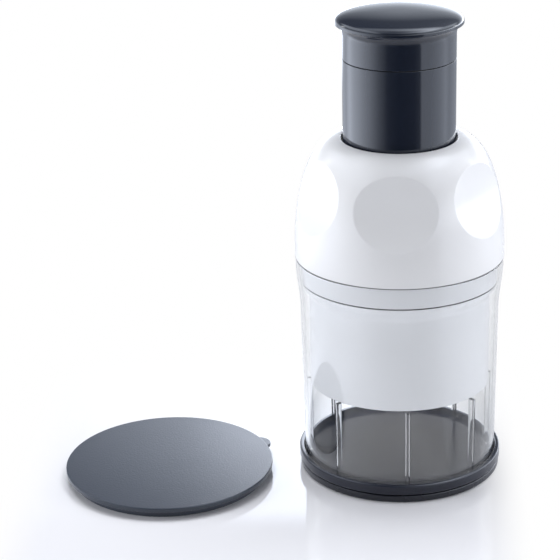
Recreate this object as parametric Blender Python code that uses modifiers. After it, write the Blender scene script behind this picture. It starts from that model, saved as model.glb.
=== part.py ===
"""Push-down food chopper: a clear cup on a dark base, a white domed housing that lifts off it,
and a sprung plunger that drives a folded blade through a slotted wiper disc and turns it on a
twisted shaft. The storage lid lies beside it. The origin is the centre of the base's underside."""

import math

import bmesh
import bpy
from mathutils import Matrix, Vector

MM = 0.001

# Clearances
SEAT_GAP = 0.3 * MM  # between faces that rest on each other
RUN_GAP = 0.4 * MM  # all round a piece that slides, turns or lifts out
SLEEVE_SPACE = 1.4 * MM  # between the cup's wall and the white sleeve
HOLE_GAP = 0.95 * MM  # between the plunger tube and the edge of the dome's hole
BOARD_CLEARANCE = 1.0 * MM  # left under the blade at the bottom of the stroke
HOLDER_CLEARANCE = 0.7 * MM  # left between blade holder and wiper at the bottom of the stroke
PLATE_CLEARANCE = 0.5 * MM  # between blade holder and drive plate at rest
CAP_CLEARANCE = 8.8 * MM  # left between the knob's flare and the dome at the bottom of the stroke

# Base
MAT_THICKNESS = 3.3 * MM
MAT_INSET = 0.5 * MM  # how far the mat's edge lies inside the tray's
MAT_PAD_RADIUS = 15.0 * MM
MAT_RING_WIDTH = 10.0 * MM
MAT_RELIEF = 1.0 * MM
TRAY_FLOOR = 2.4 * MM
TRAY_WALL = 2.4 * MM
TRAY_RISE = 3.0 * MM  # height of the ring above the floor
TRAY_STEP = 0.5 * MM  # the groove between mat and ring
TRAY_EDGE = 0.9 * MM  # rounding of the ring's top

# Clear cup
CUP_FOOT_RADIUS = 47.2 * MM
CUP_WALL = 1.8 * MM
CUP_TAPER = 1.1 * MM  # how much wider the cup is where its flare starts
CUP_FLARE = 2.0 * MM
CUP_FLARE_START = 26.0 * MM  # below the rim
CUP_FLARE_END = 4.0 * MM  # below the rim
RIB_COUNT = 8
RIB_WIDTH = 2.0 * MM
RIB_SHELF = 0.9 * MM  # how far a rib reaches under the sleeve
RIB_TURN = 5.0  # degrees from the front to the first rib

# White sleeve and wiper disc
CHAMBER_HEIGHT = 40.0 * MM  # from the tray's floor to the sleeve
SLEEVE_WALL = 2.0 * MM
SLEEVE_LIP = 2.5 * MM
SLEEVE_LIP_THICKNESS = 1.0 * MM
SLEEVE_SHOULDER = 8.5 * MM  # height over which the sleeve widens to the skirt
SNAP_BEAD = 0.7 * MM
WIPER_THICKNESS = 4.0 * MM
WIPER_EDGE = 0.8 * MM
SLOT_CLEARANCE = 0.5 * MM  # each side of the blade

# Folded blade and its holder
BLADE_MARGIN = 1.5 * MM  # between the blade's corners and the sleeve's lip
BLADE_THICKNESS = 0.8 * MM
BLADE_CORNERS = 7
BLADE_SPREAD = 0.9  # half width of the zigzag as a share of its reach
BLADE_FOLD_RADIUS = 2.2 * MM
BLADE_GRIND = 2.5 * MM  # height of the ground edge
BLADE_EDGE = 0.12 * MM
BLADE_SINK = 0.7 * MM  # height of the edge above the wiper's underside
BLADE_SEAT = 2.7 * MM  # depth of the blade in its holder
HOLDER_HEIGHT = 10.2 * MM
HOLDER_PLATE = 4.5 * MM
HOLDER_HUB_RADIUS = 10.0 * MM
HOLDER_RIB_COUNT = 6
HOLDER_RIB_WIDTH = 2.2 * MM
HOLDER_INSET = 1.5 * MM  # between the holder and the sleeve

# Twisted shaft and its nut
BLADE_TURN = 30.0  # degrees that the blade turns over one stroke
SHAFT_WIDTH = 7.6 * MM
SHAFT_CHAMFER = 0.9 * MM
SHAFT_JOURNAL_RADIUS = 3.4 * MM
SHAFT_SOCKET = 6.2 * MM  # depth of the shaft in the holder
SHAFT_FLAT_HEIGHT = 7.0 * MM  # height of the shaft between one section and the next
NUT_HEIGHT = 9.0 * MM
NUT_BODY_RADIUS = 9.0 * MM
NUT_FLANGE_RADIUS = 13.0 * MM
NUT_FLANGE_THICKNESS = 2.0 * MM
CLIP_THICKNESS = 0.9 * MM
CLIP_WIDTH = 2.6 * MM
CLIP_MOUTH = 70.0  # degrees of the clip's opening
CLIP_GROOVE = 0.8 * MM
WASHER_THICKNESS = 1.0 * MM
WASHER_RADIUS = 7.5 * MM
BLADE_SCREW_HEAD_RADIUS = 3.2 * MM
BLADE_SCREW_HEAD = 1.8 * MM
BLADE_SCREW_SHANK_RADIUS = 1.5 * MM
BLADE_SCREW_LENGTH = 9.0 * MM

# Domed housing
DOME_LEDGE = 0.4 * MM  # how far the dome stands proud of the cup's rim
DOME_WALL = 2.2 * MM
DOME_SIDE_POWER = 2.354
DOME_TOP_POWER = 2.184
DOME_HOLE_EDGE = 0.8 * MM
SKIRT_DEPTH = 10.8 * MM
SKIRT_WALL = 2.0 * MM
PLATE_THICKNESS = 2.8 * MM
SHOULDER_RISE = 4.0 * MM  # from the drive plate up to the dome's lower edge
GRIP_COUNT = 6
GRIP_TURN = -2.0  # degrees from the front to the first grip hollow
GRIP_HALF_ANGLE = 24.6
GRIP_HEIGHT = 34.0 * MM
GRIP_CENTRE = 34.5 * MM  # above the dome's lower edge
COLLAR_WALL = 2.0 * MM
BUSH_WALL = 2.3 * MM
BUSH_LENGTH = 13.4 * MM
BUSH_FLANGE = 1.5 * MM
BUMPER_THICKNESS = 1.9 * MM
BOSS_INSET = 7.2 * MM  # from the drive plate's edge to the screws
BOSS_RADIUS = 3.5 * MM
SCREW_COUNT = 3
SCREW_TURN = 28.0  # degrees from the front, between two grip hollows
SCREW_SHANK_RADIUS = 1.4 * MM
SCREW_LENGTH = 13.0 * MM
SCREW_HEAD_RADIUS = 2.8 * MM
SCREW_HEAD = 1.8 * MM

# Plunger
TUBE_RADIUS = 26.85 * MM
TUBE_WALL = 2.0 * MM
TUBE_FLANGE = 2.2 * MM
TUBE_FLANGE_THICKNESS = 3.0 * MM
CAP_SKIRT = 11.0 * MM
CAP_FLARE = 5.6 * MM
CAP_FLARE_POWER = 0.9
CAP_OVERHANG = 3.45 * MM
CAP_EDGE = 0.7 * MM
CAP_CROWN = 4.7 * MM
CAP_CROWN_POWER = 2.7
CAP_WALL = 2.2 * MM
CAP_SPIGOT = 9.0 * MM
CARRIER_THICKNESS = 5.7 * MM
CARRIER_BOSS = 5.5 * MM
CARRIER_BOSS_RADIUS = 12.0 * MM
SPRING_INSET = 6.4 * MM  # from the tube's bore to the middle of the spring's wire
SPRING_WIRE = 2.0 * MM
SPRING_TURNS = 8
SPRING_END_PITCH = 2.7 * MM
SPRING_SEAT_THICKNESS = 0.8 * MM
SPRING_SEAT_WIDTH = 5.6 * MM

# Storage lid
LID_OVERHANG = 1.1 * MM  # how far the lid stands proud of the cup's rim
LID_PLATE = 2.2 * MM
LID_CROWN = 0.4 * MM
LID_EDGE = 0.45 * MM
LID_PLUG = 3.8 * MM
LID_PLUG_WALL = 1.8 * MM
LID_TAB_RADIUS = 6.5 * MM
LID_TAB_REACH = 3.1 * MM
LID_TAB_TURN = 27.0  # degrees from +X
LID_TAB_THICKNESS = 1.7 * MM
LID_X = -114.5 * MM
LID_Y = -17.7 * MM

# Facets
ROUND = 36
DOME_ROUND = ROUND * 5 // 3
INNER_ROUND = 18
SMALL_ROUND = 16
SCREW_ROUND = 8
SMOOTH_LIMIT = 23.0  # degrees at an edge above which it is shaded sharp

# Heights that follow, from the table up
TRAY_BOTTOM = MAT_THICKNESS + SEAT_GAP
FLOOR_TOP = TRAY_BOTTOM + TRAY_FLOOR
TRAY_TOP = FLOOR_TOP + TRAY_RISE
CUP_FOOT = FLOOR_TOP + SEAT_GAP
SLEEVE_BOTTOM = FLOOR_TOP + CHAMBER_HEIGHT
WIPER_BOTTOM = SLEEVE_BOTTOM + SLEEVE_LIP_THICKNESS + SEAT_GAP
WIPER_TOP = WIPER_BOTTOM + WIPER_THICKNESS
BLADE_BOTTOM = WIPER_BOTTOM + BLADE_SINK
STROKE = BLADE_BOTTOM - FLOOR_TOP - BOARD_CLEARANCE
HOLDER_BOTTOM = WIPER_TOP + STROKE + HOLDER_CLEARANCE
HOLDER_TOP = HOLDER_BOTTOM + HOLDER_HEIGHT
PLATE_BOTTOM = HOLDER_TOP + PLATE_CLEARANCE
PLATE_TOP = PLATE_BOTTOM + PLATE_THICKNESS
DOME_BOTTOM = PLATE_TOP + SHOULDER_RISE
CUP_RIM = DOME_BOTTOM - SEAT_GAP
SKIRT_BOTTOM = DOME_BOTTOM - SKIRT_DEPTH
SLEEVE_TOP = SKIRT_BOTTOM - SEAT_GAP
BUMPER_TOP = PLATE_TOP + SEAT_GAP + BUMPER_THICKNESS
TUBE_BOTTOM = BUMPER_TOP + SEAT_GAP + STROKE
BUSH_BOTTOM = TUBE_BOTTOM + TUBE_FLANGE_THICKNESS + SEAT_GAP
BUSH_TOP = BUSH_BOTTOM + BUSH_LENGTH
DOME_TOP = BUSH_TOP + SEAT_GAP + DOME_WALL
CAP_FLARE_BOTTOM = DOME_TOP + STROKE + CAP_CLEARANCE
CAP_BOTTOM = CAP_FLARE_BOTTOM - CAP_SKIRT
TUBE_TOP = CAP_BOTTOM - SEAT_GAP
CAP_RIM = CAP_FLARE_BOTTOM + CAP_FLARE
CAP_TOP = CAP_RIM + CAP_EDGE + CAP_CROWN
SPIGOT_BOTTOM = CAP_BOTTOM - CAP_SPIGOT
CARRIER_TOP = SPIGOT_BOTTOM - SEAT_GAP
CARRIER_BOTTOM = CARRIER_TOP - CARRIER_THICKNESS
SPRING_BOTTOM = PLATE_TOP + 2 * SEAT_GAP + SPRING_SEAT_THICKNESS

# Radii that follow, from the cup in and out
TRAY_RADIUS = CUP_FOOT_RADIUS + RUN_GAP + TRAY_WALL
MAT_RADIUS = TRAY_RADIUS - MAT_INSET
CUP_RIM_RADIUS = CUP_FOOT_RADIUS + CUP_TAPER + CUP_FLARE
SLEEVE_RADIUS = CUP_FOOT_RADIUS - CUP_WALL - SLEEVE_SPACE
SLEEVE_BORE = SLEEVE_RADIUS - SLEEVE_WALL
WIPER_RADIUS = SLEEVE_BORE - RUN_GAP
BLADE_REACH = SLEEVE_BORE - SLEEVE_LIP - BLADE_MARGIN
HOLDER_RADIUS = SLEEVE_BORE - HOLDER_INSET
DOME_RADIUS = CUP_RIM_RADIUS + DOME_LEDGE
HOLE_RADIUS = TUBE_RADIUS + HOLE_GAP
TUBE_BORE = TUBE_RADIUS - TUBE_WALL
BUSH_BORE = TUBE_RADIUS + RUN_GAP
BUSH_RADIUS = BUSH_BORE + BUSH_WALL
COLLAR_BORE = BUSH_RADIUS + SEAT_GAP
COLLAR_RADIUS = COLLAR_BORE + COLLAR_WALL
CAP_RADIUS = TUBE_RADIUS + CAP_OVERHANG
SPRING_RADIUS = TUBE_BORE - SPRING_INSET
LID_RADIUS = CUP_RIM_RADIUS + LID_OVERHANG


def smooth_step(value):
    """0 to 1 with level ends."""
    value = min(max(value, 0.0), 1.0)
    return value * value * (3 - 2 * value)


def cup_outside(z):
    """The cup's outer radius: a slight taper, then a soft flare to the rim."""
    start = CUP_RIM - CUP_FLARE_START
    end = CUP_RIM - CUP_FLARE_END
    taper = CUP_TAPER * min((z - CUP_FOOT) / (start - CUP_FOOT), 1.0)
    return CUP_FOOT_RADIUS + taper + CUP_FLARE * smooth_step((z - start) / (end - start))


SKIRT_RADIUS = cup_outside(SKIRT_BOTTOM) - CUP_WALL - RUN_GAP
SKIRT_BORE = SKIRT_RADIUS - SKIRT_WALL
PLATE_RADIUS = SKIRT_BORE - RUN_GAP
BOSS_CIRCLE = PLATE_RADIUS - BOSS_INSET


# Collections and materials

for existing in list(bpy.data.objects):
    bpy.data.objects.remove(existing)


def new_collection(name):
    made = bpy.data.collections.new(name)
    bpy.context.scene.collection.children.link(made)
    return made


PARTS = new_collection("food_chopper")
CUTTERS = new_collection("cutters")
CUTTERS.hide_render = True


def new_material(name, colour, roughness, metallic=0.0, transmission=0.0):
    made = bpy.data.materials.new(name)
    made.use_nodes = True
    made.diffuse_color = (*colour, 1.0)
    shader = made.node_tree.nodes["Principled BSDF"]
    shader.inputs["Base Color"].default_value = (*colour, 1.0)
    shader.inputs["Roughness"].default_value = roughness
    shader.inputs["Metallic"].default_value = metallic
    shader.inputs["Transmission Weight"].default_value = transmission
    return made


WHITE_PLASTIC = new_material("white_gloss_plastic", (0.86, 0.87, 0.90), 0.22)
WHITE_SLEEVE = new_material("white_sleeve_plastic", (0.82, 0.83, 0.85), 0.35)
DARK_GLOSS = new_material("dark_gloss_plastic", (0.035, 0.042, 0.060), 0.14)
DARK_SATIN = new_material("dark_satin_plastic", (0.085, 0.100, 0.125), 0.42)
DARK_RUBBER = new_material("dark_rubber", (0.040, 0.045, 0.055), 0.75)
CLEAR_PLASTIC = new_material("clear_plastic", (0.96, 0.97, 1.00), 0.05, transmission=1.0)
NATURAL_PLASTIC = new_material("natural_plastic", (0.78, 0.77, 0.72), 0.40)
BLADE_STEEL = new_material("blade_steel", (0.62, 0.63, 0.64), 0.25, metallic=1.0)
SPRING_STEEL = new_material("spring_steel", (0.50, 0.51, 0.53), 0.32, metallic=1.0)


def new_shading():
    """A node group that shades a mesh smooth, except along edges sharper than the limit."""
    group = bpy.data.node_groups.new("smooth_by_angle", "GeometryNodeTree")
    group.interface.new_socket("Geometry", in_out="INPUT", socket_type="NodeSocketGeometry")
    group.interface.new_socket("Geometry", in_out="OUTPUT", socket_type="NodeSocketGeometry")
    start = group.nodes.new("NodeGroupInput")
    end = group.nodes.new("NodeGroupOutput")
    faces = group.nodes.new("GeometryNodeSetShadeSmooth")
    edges = group.nodes.new("GeometryNodeSetShadeSmooth")
    edges.domain = "EDGE"
    edges.inputs["Shade Smooth"].default_value = False
    angle = group.nodes.new("GeometryNodeInputMeshEdgeAngle")
    sharper = group.nodes.new("FunctionNodeCompare")
    sharper.operation = "GREATER_THAN"
    sharper.inputs[1].default_value = math.radians(SMOOTH_LIMIT)
    group.links.new(start.outputs[0], faces.inputs["Geometry"])
    group.links.new(faces.outputs["Geometry"], edges.inputs["Geometry"])
    group.links.new(angle.outputs["Unsigned Angle"], sharper.inputs[0])
    group.links.new(sharper.outputs[0], edges.inputs["Selection"])
    group.links.new(edges.outputs["Geometry"], end.inputs[0])
    return group


# Shapes

def arc(centre, radius, start, end, steps):
    """Points (r, z) on an arc, with its angles in degrees from +r towards +z."""
    turned_by = [math.radians(start + (end - start) * i / steps) for i in range(steps + 1)]
    return [
        (centre[0] + radius * math.cos(angle), centre[1] + radius * math.sin(angle))
        for angle in turned_by
    ]


def add_object(name, mesh, material, collection):
    made = bpy.data.objects.new(name, mesh)
    collection.objects.link(made)
    if material:
        mesh.materials.append(material)
    if collection == CUTTERS:
        made.hide_render = True
        made.display_type = "WIRE"
    return made


def turned(name, profile, material, closed=True, steps=ROUND, collection=PARTS, at=(0, 0, 0)):
    """A profile of (r, z) points turned round the Z axis, running down its outer side."""
    mesh = bpy.data.meshes.new(name)
    outline = bmesh.new()
    corners = [outline.verts.new((r, 0, z)) for r, z in profile]
    for first, second in zip(corners, corners[1:]):
        outline.edges.new((first, second))
    if closed:
        outline.edges.new((corners[-1], corners[0]))
    outline.to_mesh(mesh)
    outline.free()
    made = add_object(name, mesh, material, collection)
    made.location = at
    screw = made.modifiers.new("turn", "SCREW")
    screw.axis = "Z"
    screw.steps = steps
    screw.render_steps = steps
    screw.use_merge_vertices = True
    screw.merge_threshold = 0.00001
    return made


def lofted(name, sections, material, collection=PARTS):
    """A closed body through outlines that have the same number of points, from the lowest up."""
    mesh = bpy.data.meshes.new(name)
    body = bmesh.new()
    rows = [[body.verts.new(point) for point in section] for section in sections]
    for low, high in zip(rows, rows[1:]):
        for i in range(len(low)):
            after = (i + 1) % len(low)
            body.faces.new((low[i], low[after], high[after], high[i]))
    body.faces.new(list(reversed(rows[0])))
    body.faces.new(rows[-1])
    bmesh.ops.recalc_face_normals(body, faces=body.faces)
    body.to_mesh(mesh)
    body.free()
    return add_object(name, mesh, material, collection)


def raised(outline, z):
    return [(x, y, z) for x, y in outline]


def extruded(name, outline, bottom, top, material, collection=PARTS):
    return lofted(name, [raised(outline, bottom), raised(outline, top)], material, collection)


def around(count, first):
    """Directions of a ring of pieces, in degrees from the front (-Y) towards +X."""
    return [first + 360.0 * i / count for i in range(count)]


def place(radius, degrees):
    """The point (x, y) at this distance and direction from the front."""
    angle = math.radians(degrees)
    return radius * math.sin(angle), -radius * math.cos(angle)


def stacked(name, levels, material, steps=ROUND, collection=PARTS):
    """A round body from circles of (radius, z), from the lowest up, with plain flat ends."""
    ring = [place(1, 360.0 * i / steps) for i in range(steps)]
    sections = [[(x * radius, y * radius, z) for x, y in ring] for radius, z in levels]
    return lofted(name, sections, material, collection)


def cylinder(name, radius, bottom, top, material=None, at=(0, 0), steps=SMALL_ROUND, collection=CUTTERS):
    mesh = bpy.data.meshes.new(name)
    body = bmesh.new()
    bmesh.ops.create_cone(
        body, cap_ends=True, segments=steps, radius1=radius, radius2=radius, depth=top - bottom
    )
    bmesh.ops.translate(body, vec=(0, 0, (top + bottom) / 2), verts=body.verts)
    body.to_mesh(mesh)
    body.free()
    made = add_object(name, mesh, material, collection)
    made.location = (at[0], at[1], 0)
    return made


def combine(target, tool, operation):
    boolean = target.modifiers.new(tool.name, "BOOLEAN")
    boolean.operation = operation
    boolean.solver = "EXACT"
    boolean.object = tool


def cut(target, *tools):
    for tool in tools:
        combine(target, tool, "DIFFERENCE")


def join(target, *tools):
    for tool in tools:
        combine(target, tool, "UNION")


# Base: the soft mat under the tray

def make_base():
    ring_inside = MAT_RADIUS - MAT_RING_WIDTH
    edge = MAT_INSET
    turned(
        "non_slip_base",
        [
            (0, MAT_THICKNESS),
            (MAT_RADIUS - edge, MAT_THICKNESS),
            (MAT_RADIUS, MAT_THICKNESS - edge),
            (MAT_RADIUS, edge),
            (MAT_RADIUS - edge, 0),
            (ring_inside, 0),
            (ring_inside - MAT_RELIEF, MAT_RELIEF),
            (MAT_PAD_RADIUS + MAT_RELIEF, MAT_RELIEF),
            (MAT_PAD_RADIUS, 0),
            (0, 0),
        ],
        DARK_RUBBER,
        closed=False,
    )
    wall_inside = TRAY_RADIUS - TRAY_WALL
    rounding = arc((TRAY_RADIUS - TRAY_EDGE, TRAY_TOP - TRAY_EDGE), TRAY_EDGE, 90, 0, 2)
    turned(
        "base_tray",
        [
            (0, FLOOR_TOP),
            (wall_inside - TRAY_STEP, FLOOR_TOP),
            (wall_inside, FLOOR_TOP + SEAT_GAP),
            (wall_inside, TRAY_TOP - SEAT_GAP),
            (wall_inside + SEAT_GAP, TRAY_TOP),
            *rounding,
            (TRAY_RADIUS, TRAY_BOTTOM + 2 * TRAY_STEP),
            (TRAY_RADIUS - TRAY_STEP / 2, TRAY_BOTTOM + TRAY_STEP),
            (MAT_RADIUS - 2 * TRAY_STEP, TRAY_BOTTOM + TRAY_STEP),
            (MAT_RADIUS - 2 * TRAY_STEP, TRAY_BOTTOM),
            (0, TRAY_BOTTOM),
        ],
        DARK_SATIN,
        closed=False,
    )


# Clear cup, with the inner ribs that the sleeve stands on

def rib_outline(degrees):
    """A rib's round-nosed section, from inside the cup's wall in to its nose."""
    outward = Vector(place(1, degrees))
    across = Vector((-outward.y, outward.x))
    nose = RIB_WIDTH / 2
    tip = SLEEVE_RADIUS - RIB_SHELF + nose
    root = CUP_FOOT_RADIUS - CUP_WALL / 2
    section = [(root, -nose), (root, nose)]
    section += [(tip - nose * math.sin(a), nose * math.cos(a)) for a in (i * math.pi / 4 for i in range(5))]
    return [tuple(outward * along + across * aside) for along, aside in section]


def make_cup():
    levels = [CUP_FOOT]
    flare_start = CUP_RIM - CUP_FLARE_START
    flare_end = CUP_RIM - CUP_FLARE_END
    levels += [flare_start + (flare_end - flare_start) * i / 4 for i in range(5)]
    levels.append(CUP_RIM - SEAT_GAP)
    outside = [(cup_outside(z), z) for z in reversed(levels)]
    rim = cup_outside(CUP_RIM)
    inside = [(cup_outside(z) - CUP_WALL, z) for z in levels]
    cup = turned(
        "clear_container",
        [(rim - SEAT_GAP, CUP_RIM), *outside, *inside, (rim - CUP_WALL + SEAT_GAP, CUP_RIM)],
        CLEAR_PLASTIC,
    )
    for number, degrees in enumerate(around(RIB_COUNT, RIB_TURN)):
        rib = extruded(
            f"rib_{number}", rib_outline(degrees), CUP_FOOT, SLEEVE_BOTTOM - SEAT_GAP, None, CUTTERS
        )
        join(cup, rib)


# White sleeve round the blade

def make_sleeve():
    spigot_radius = SKIRT_BORE - RUN_GAP
    spigot_bore = spigot_radius - SLEEVE_WALL
    shoulder = SLEEVE_TOP - SLEEVE_SHOULDER
    steps = 2
    widening = [smooth_step(i / steps) for i in range(steps + 1)]
    outside = [
        (SLEEVE_RADIUS + (SKIRT_RADIUS - SLEEVE_RADIUS) * share, shoulder + SLEEVE_SHOULDER * i / steps)
        for i, share in enumerate(widening)
    ]
    inside = [
        (SLEEVE_BORE + (spigot_bore - SLEEVE_BORE) * share, shoulder + SLEEVE_SHOULDER * i / steps)
        for i, share in enumerate(widening)
    ]
    lip_bore = SLEEVE_BORE - SLEEVE_LIP
    lip_top = SLEEVE_BOTTOM + SLEEVE_LIP_THICKNESS
    bead = WIPER_TOP + SEAT_GAP + SNAP_BEAD
    turned(
        "inner_sleeve",
        [
            (spigot_radius, PLATE_BOTTOM - SEAT_GAP),
            (spigot_radius, SLEEVE_TOP),
            *reversed(outside),
            (SLEEVE_RADIUS, SLEEVE_BOTTOM + SEAT_GAP),
            (SLEEVE_RADIUS - SEAT_GAP, SLEEVE_BOTTOM),
            (lip_bore, SLEEVE_BOTTOM),
            (lip_bore, lip_top),
            (SLEEVE_BORE, lip_top),
            (SLEEVE_BORE, bead - SNAP_BEAD),
            (SLEEVE_BORE - SNAP_BEAD, bead),
            (SLEEVE_BORE, bead + SNAP_BEAD),
            *inside,
            (spigot_bore, PLATE_BOTTOM - SEAT_GAP),
        ],
        WHITE_SLEEVE,
    )


# Folded blade, its slotted wiper disc and its holder

def folded_line():
    """The blade's middle line seen from above, bent round pins that stand on both sides in turn."""
    half = BLADE_REACH * BLADE_SPREAD
    last = BLADE_CORNERS - 1
    pins = []
    for i in range(BLADE_CORNERS):
        x = -half + 2 * half * i / last
        side = 1 if i % 2 else -1
        radius = BLADE_FOLD_RADIUS if 0 < i < last else 0.0
        reach = BLADE_REACH - radius - BLADE_THICKNESS / 2
        pins.append((Vector((x, side * math.sqrt(reach**2 - x**2))), side * radius))
    headings = []
    for (start, bend), (end, next_bend) in zip(pins, pins[1:]):
        span = end - start
        headings.append(math.atan2(span.y, span.x) - math.asin((bend - next_bend) / span.length))
    line = [pins[0][0]]
    steps = 4
    for (pin, bend), before, after in zip(pins[1:], headings, headings[1:]):
        for i in range(steps + 1):
            heading = before + (after - before) * i / steps
            line.append(pin + Vector((-math.sin(heading), math.cos(heading))) * bend)
    line.append(pins[last][0])
    return line


def ribbon(line, half_width, end_gap=0.0):
    """The closed outline of a strip of this half width along a line of points."""
    points = [Vector(point) for point in line]
    points[0] += (points[0] - points[1]).normalized() * end_gap
    points[-1] += (points[-1] - points[-2]).normalized() * end_gap
    left = []
    right = []
    for i, point in enumerate(points):
        back = (point - points[i - 1]).normalized() if i else None
        ahead = (points[i + 1] - point).normalized() if i + 1 < len(points) else None
        along = ((back or ahead) + (ahead or back)).normalized()
        aside = Vector((-along.y, along.x))
        mitre = half_width / (back or ahead).dot(along)
        left.append(tuple(point + aside * mitre))
        right.append(tuple(point - aside * mitre))
    return left + right[::-1]


def make_blade():
    line = folded_line()
    full = ribbon(line, BLADE_THICKNESS / 2)
    sharp = ribbon(line, BLADE_EDGE / 2)
    lofted(
        "chopping_blade",
        [
            raised(sharp, BLADE_BOTTOM),
            raised(full, BLADE_BOTTOM + BLADE_GRIND),
            raised(full, HOLDER_BOTTOM + BLADE_SEAT - SEAT_GAP),
        ],
        BLADE_STEEL,
    )
    wiper = stacked(
        "wiper_disc",
        [
            (WIPER_RADIUS - WIPER_EDGE, WIPER_BOTTOM),
            (WIPER_RADIUS, WIPER_BOTTOM + WIPER_EDGE),
            (WIPER_RADIUS, WIPER_TOP - WIPER_EDGE),
            (WIPER_RADIUS - WIPER_EDGE, WIPER_TOP),
        ],
        WHITE_SLEEVE,
    )
    slot = ribbon(line, BLADE_THICKNESS / 2 + SLOT_CLEARANCE, SLOT_CLEARANCE)
    cut(
        wiper,
        extruded(
            "wiper_slot", slot, WIPER_BOTTOM - WIPER_EDGE, WIPER_TOP + WIPER_EDGE, None, CUTTERS
        ),
    )
    return line


def shaft_outline(z, clearance=0.0):
    """The shaft's square section at this height, turned by the twist."""
    turn_per_metre = -math.radians(BLADE_TURN) / STROKE
    half = SHAFT_WIDTH / 2 + clearance
    corner = half - SHAFT_CHAMFER
    section = [
        (half, corner), (corner, half), (-corner, half), (-half, corner),
        (-half, -corner), (-corner, -half), (corner, -half), (half, -corner),
    ]
    turn = Matrix.Rotation((z - PLATE_TOP) * turn_per_metre, 2)
    return [(*(turn @ Vector(point)), z) for point in section]


def twisted(name, bottom, top, material, collection=PARTS, clearance=0.0):
    steps = max(2, round((top - bottom) / SHAFT_FLAT_HEIGHT))
    heights = [bottom + (top - bottom) * i / steps for i in range(steps + 1)]
    return lofted(name, [shaft_outline(z, clearance) for z in heights], material, collection)


def make_holder(line):
    plate_top = HOLDER_BOTTOM + HOLDER_PLATE
    holder = stacked(
        "blade_holder",
        [
            (HOLDER_RADIUS - WIPER_EDGE, HOLDER_BOTTOM),
            (HOLDER_RADIUS, HOLDER_BOTTOM + WIPER_EDGE),
            (HOLDER_RADIUS, plate_top - WIPER_EDGE),
            (HOLDER_RADIUS - WIPER_EDGE, plate_top),
            (HOLDER_HUB_RADIUS, plate_top),
            (HOLDER_HUB_RADIUS, HOLDER_TOP - WIPER_EDGE),
            (HOLDER_HUB_RADIUS - WIPER_EDGE, HOLDER_TOP),
        ],
        WHITE_SLEEVE,
    )
    rib_root = HOLDER_HUB_RADIUS - WIPER_EDGE
    rib_end = HOLDER_RADIUS - 2 * HOLDER_INSET
    rib_top = (HOLDER_TOP + plate_top) / 2
    for number, degrees in enumerate(around(HOLDER_RIB_COUNT, 0.0)):
        outward = Vector(place(1, degrees)).to_3d()
        across = outward.cross(Vector((0, 0, 1))) * (HOLDER_RIB_WIDTH / 2)
        sunk = plate_top - WIPER_EDGE
        side = [
            outward * rib_root + Vector((0, 0, sunk)),
            outward * rib_end + Vector((0, 0, sunk)),
            outward * rib_end + Vector((0, 0, plate_top + WIPER_EDGE)),
            outward * rib_root + Vector((0, 0, rib_top)),
        ]
        rib = lofted(
            f"holder_rib_{number}",
            [[point - across for point in side], [point + across for point in side]],
            None,
            CUTTERS,
        )
        join(holder, rib)
    groove = ribbon(line, BLADE_THICKNESS / 2 + SEAT_GAP, SEAT_GAP)
    below = HOLDER_BOTTOM - WIPER_EDGE
    shaft_bottom = HOLDER_TOP - SHAFT_SOCKET
    head_top = HOLDER_BOTTOM + SEAT_GAP + BLADE_SCREW_HEAD
    shank_bore = BLADE_SCREW_SHANK_RADIUS + SEAT_GAP
    cut(
        holder,
        extruded("blade_groove", groove, below, HOLDER_BOTTOM + BLADE_SEAT, None, CUTTERS),
        twisted(
            "shaft_socket", shaft_bottom - SEAT_GAP, HOLDER_TOP + PLATE_CLEARANCE, None, CUTTERS, SEAT_GAP
        ),
        cylinder("screw_head_recess", BLADE_SCREW_HEAD_RADIUS + SEAT_GAP, below, head_top + SEAT_GAP),
        cylinder("screw_hole", shank_bore, below, shaft_bottom),
    )
    turned(
        "blade_screw",
        [
            (0, head_top + BLADE_SCREW_LENGTH),
            (BLADE_SCREW_SHANK_RADIUS, head_top + BLADE_SCREW_LENGTH),
            (BLADE_SCREW_SHANK_RADIUS, head_top),
            (BLADE_SCREW_HEAD_RADIUS, head_top),
            (BLADE_SCREW_HEAD_RADIUS, HOLDER_BOTTOM + 2 * SEAT_GAP),
            (BLADE_SCREW_HEAD_RADIUS - SEAT_GAP, HOLDER_BOTTOM + SEAT_GAP),
            (0, HOLDER_BOTTOM + SEAT_GAP),
        ],
        SPRING_STEEL,
        closed=False,
        steps=SMALL_ROUND,
    )


# Twisted shaft, and the bearing that hangs it in the plunger

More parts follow.
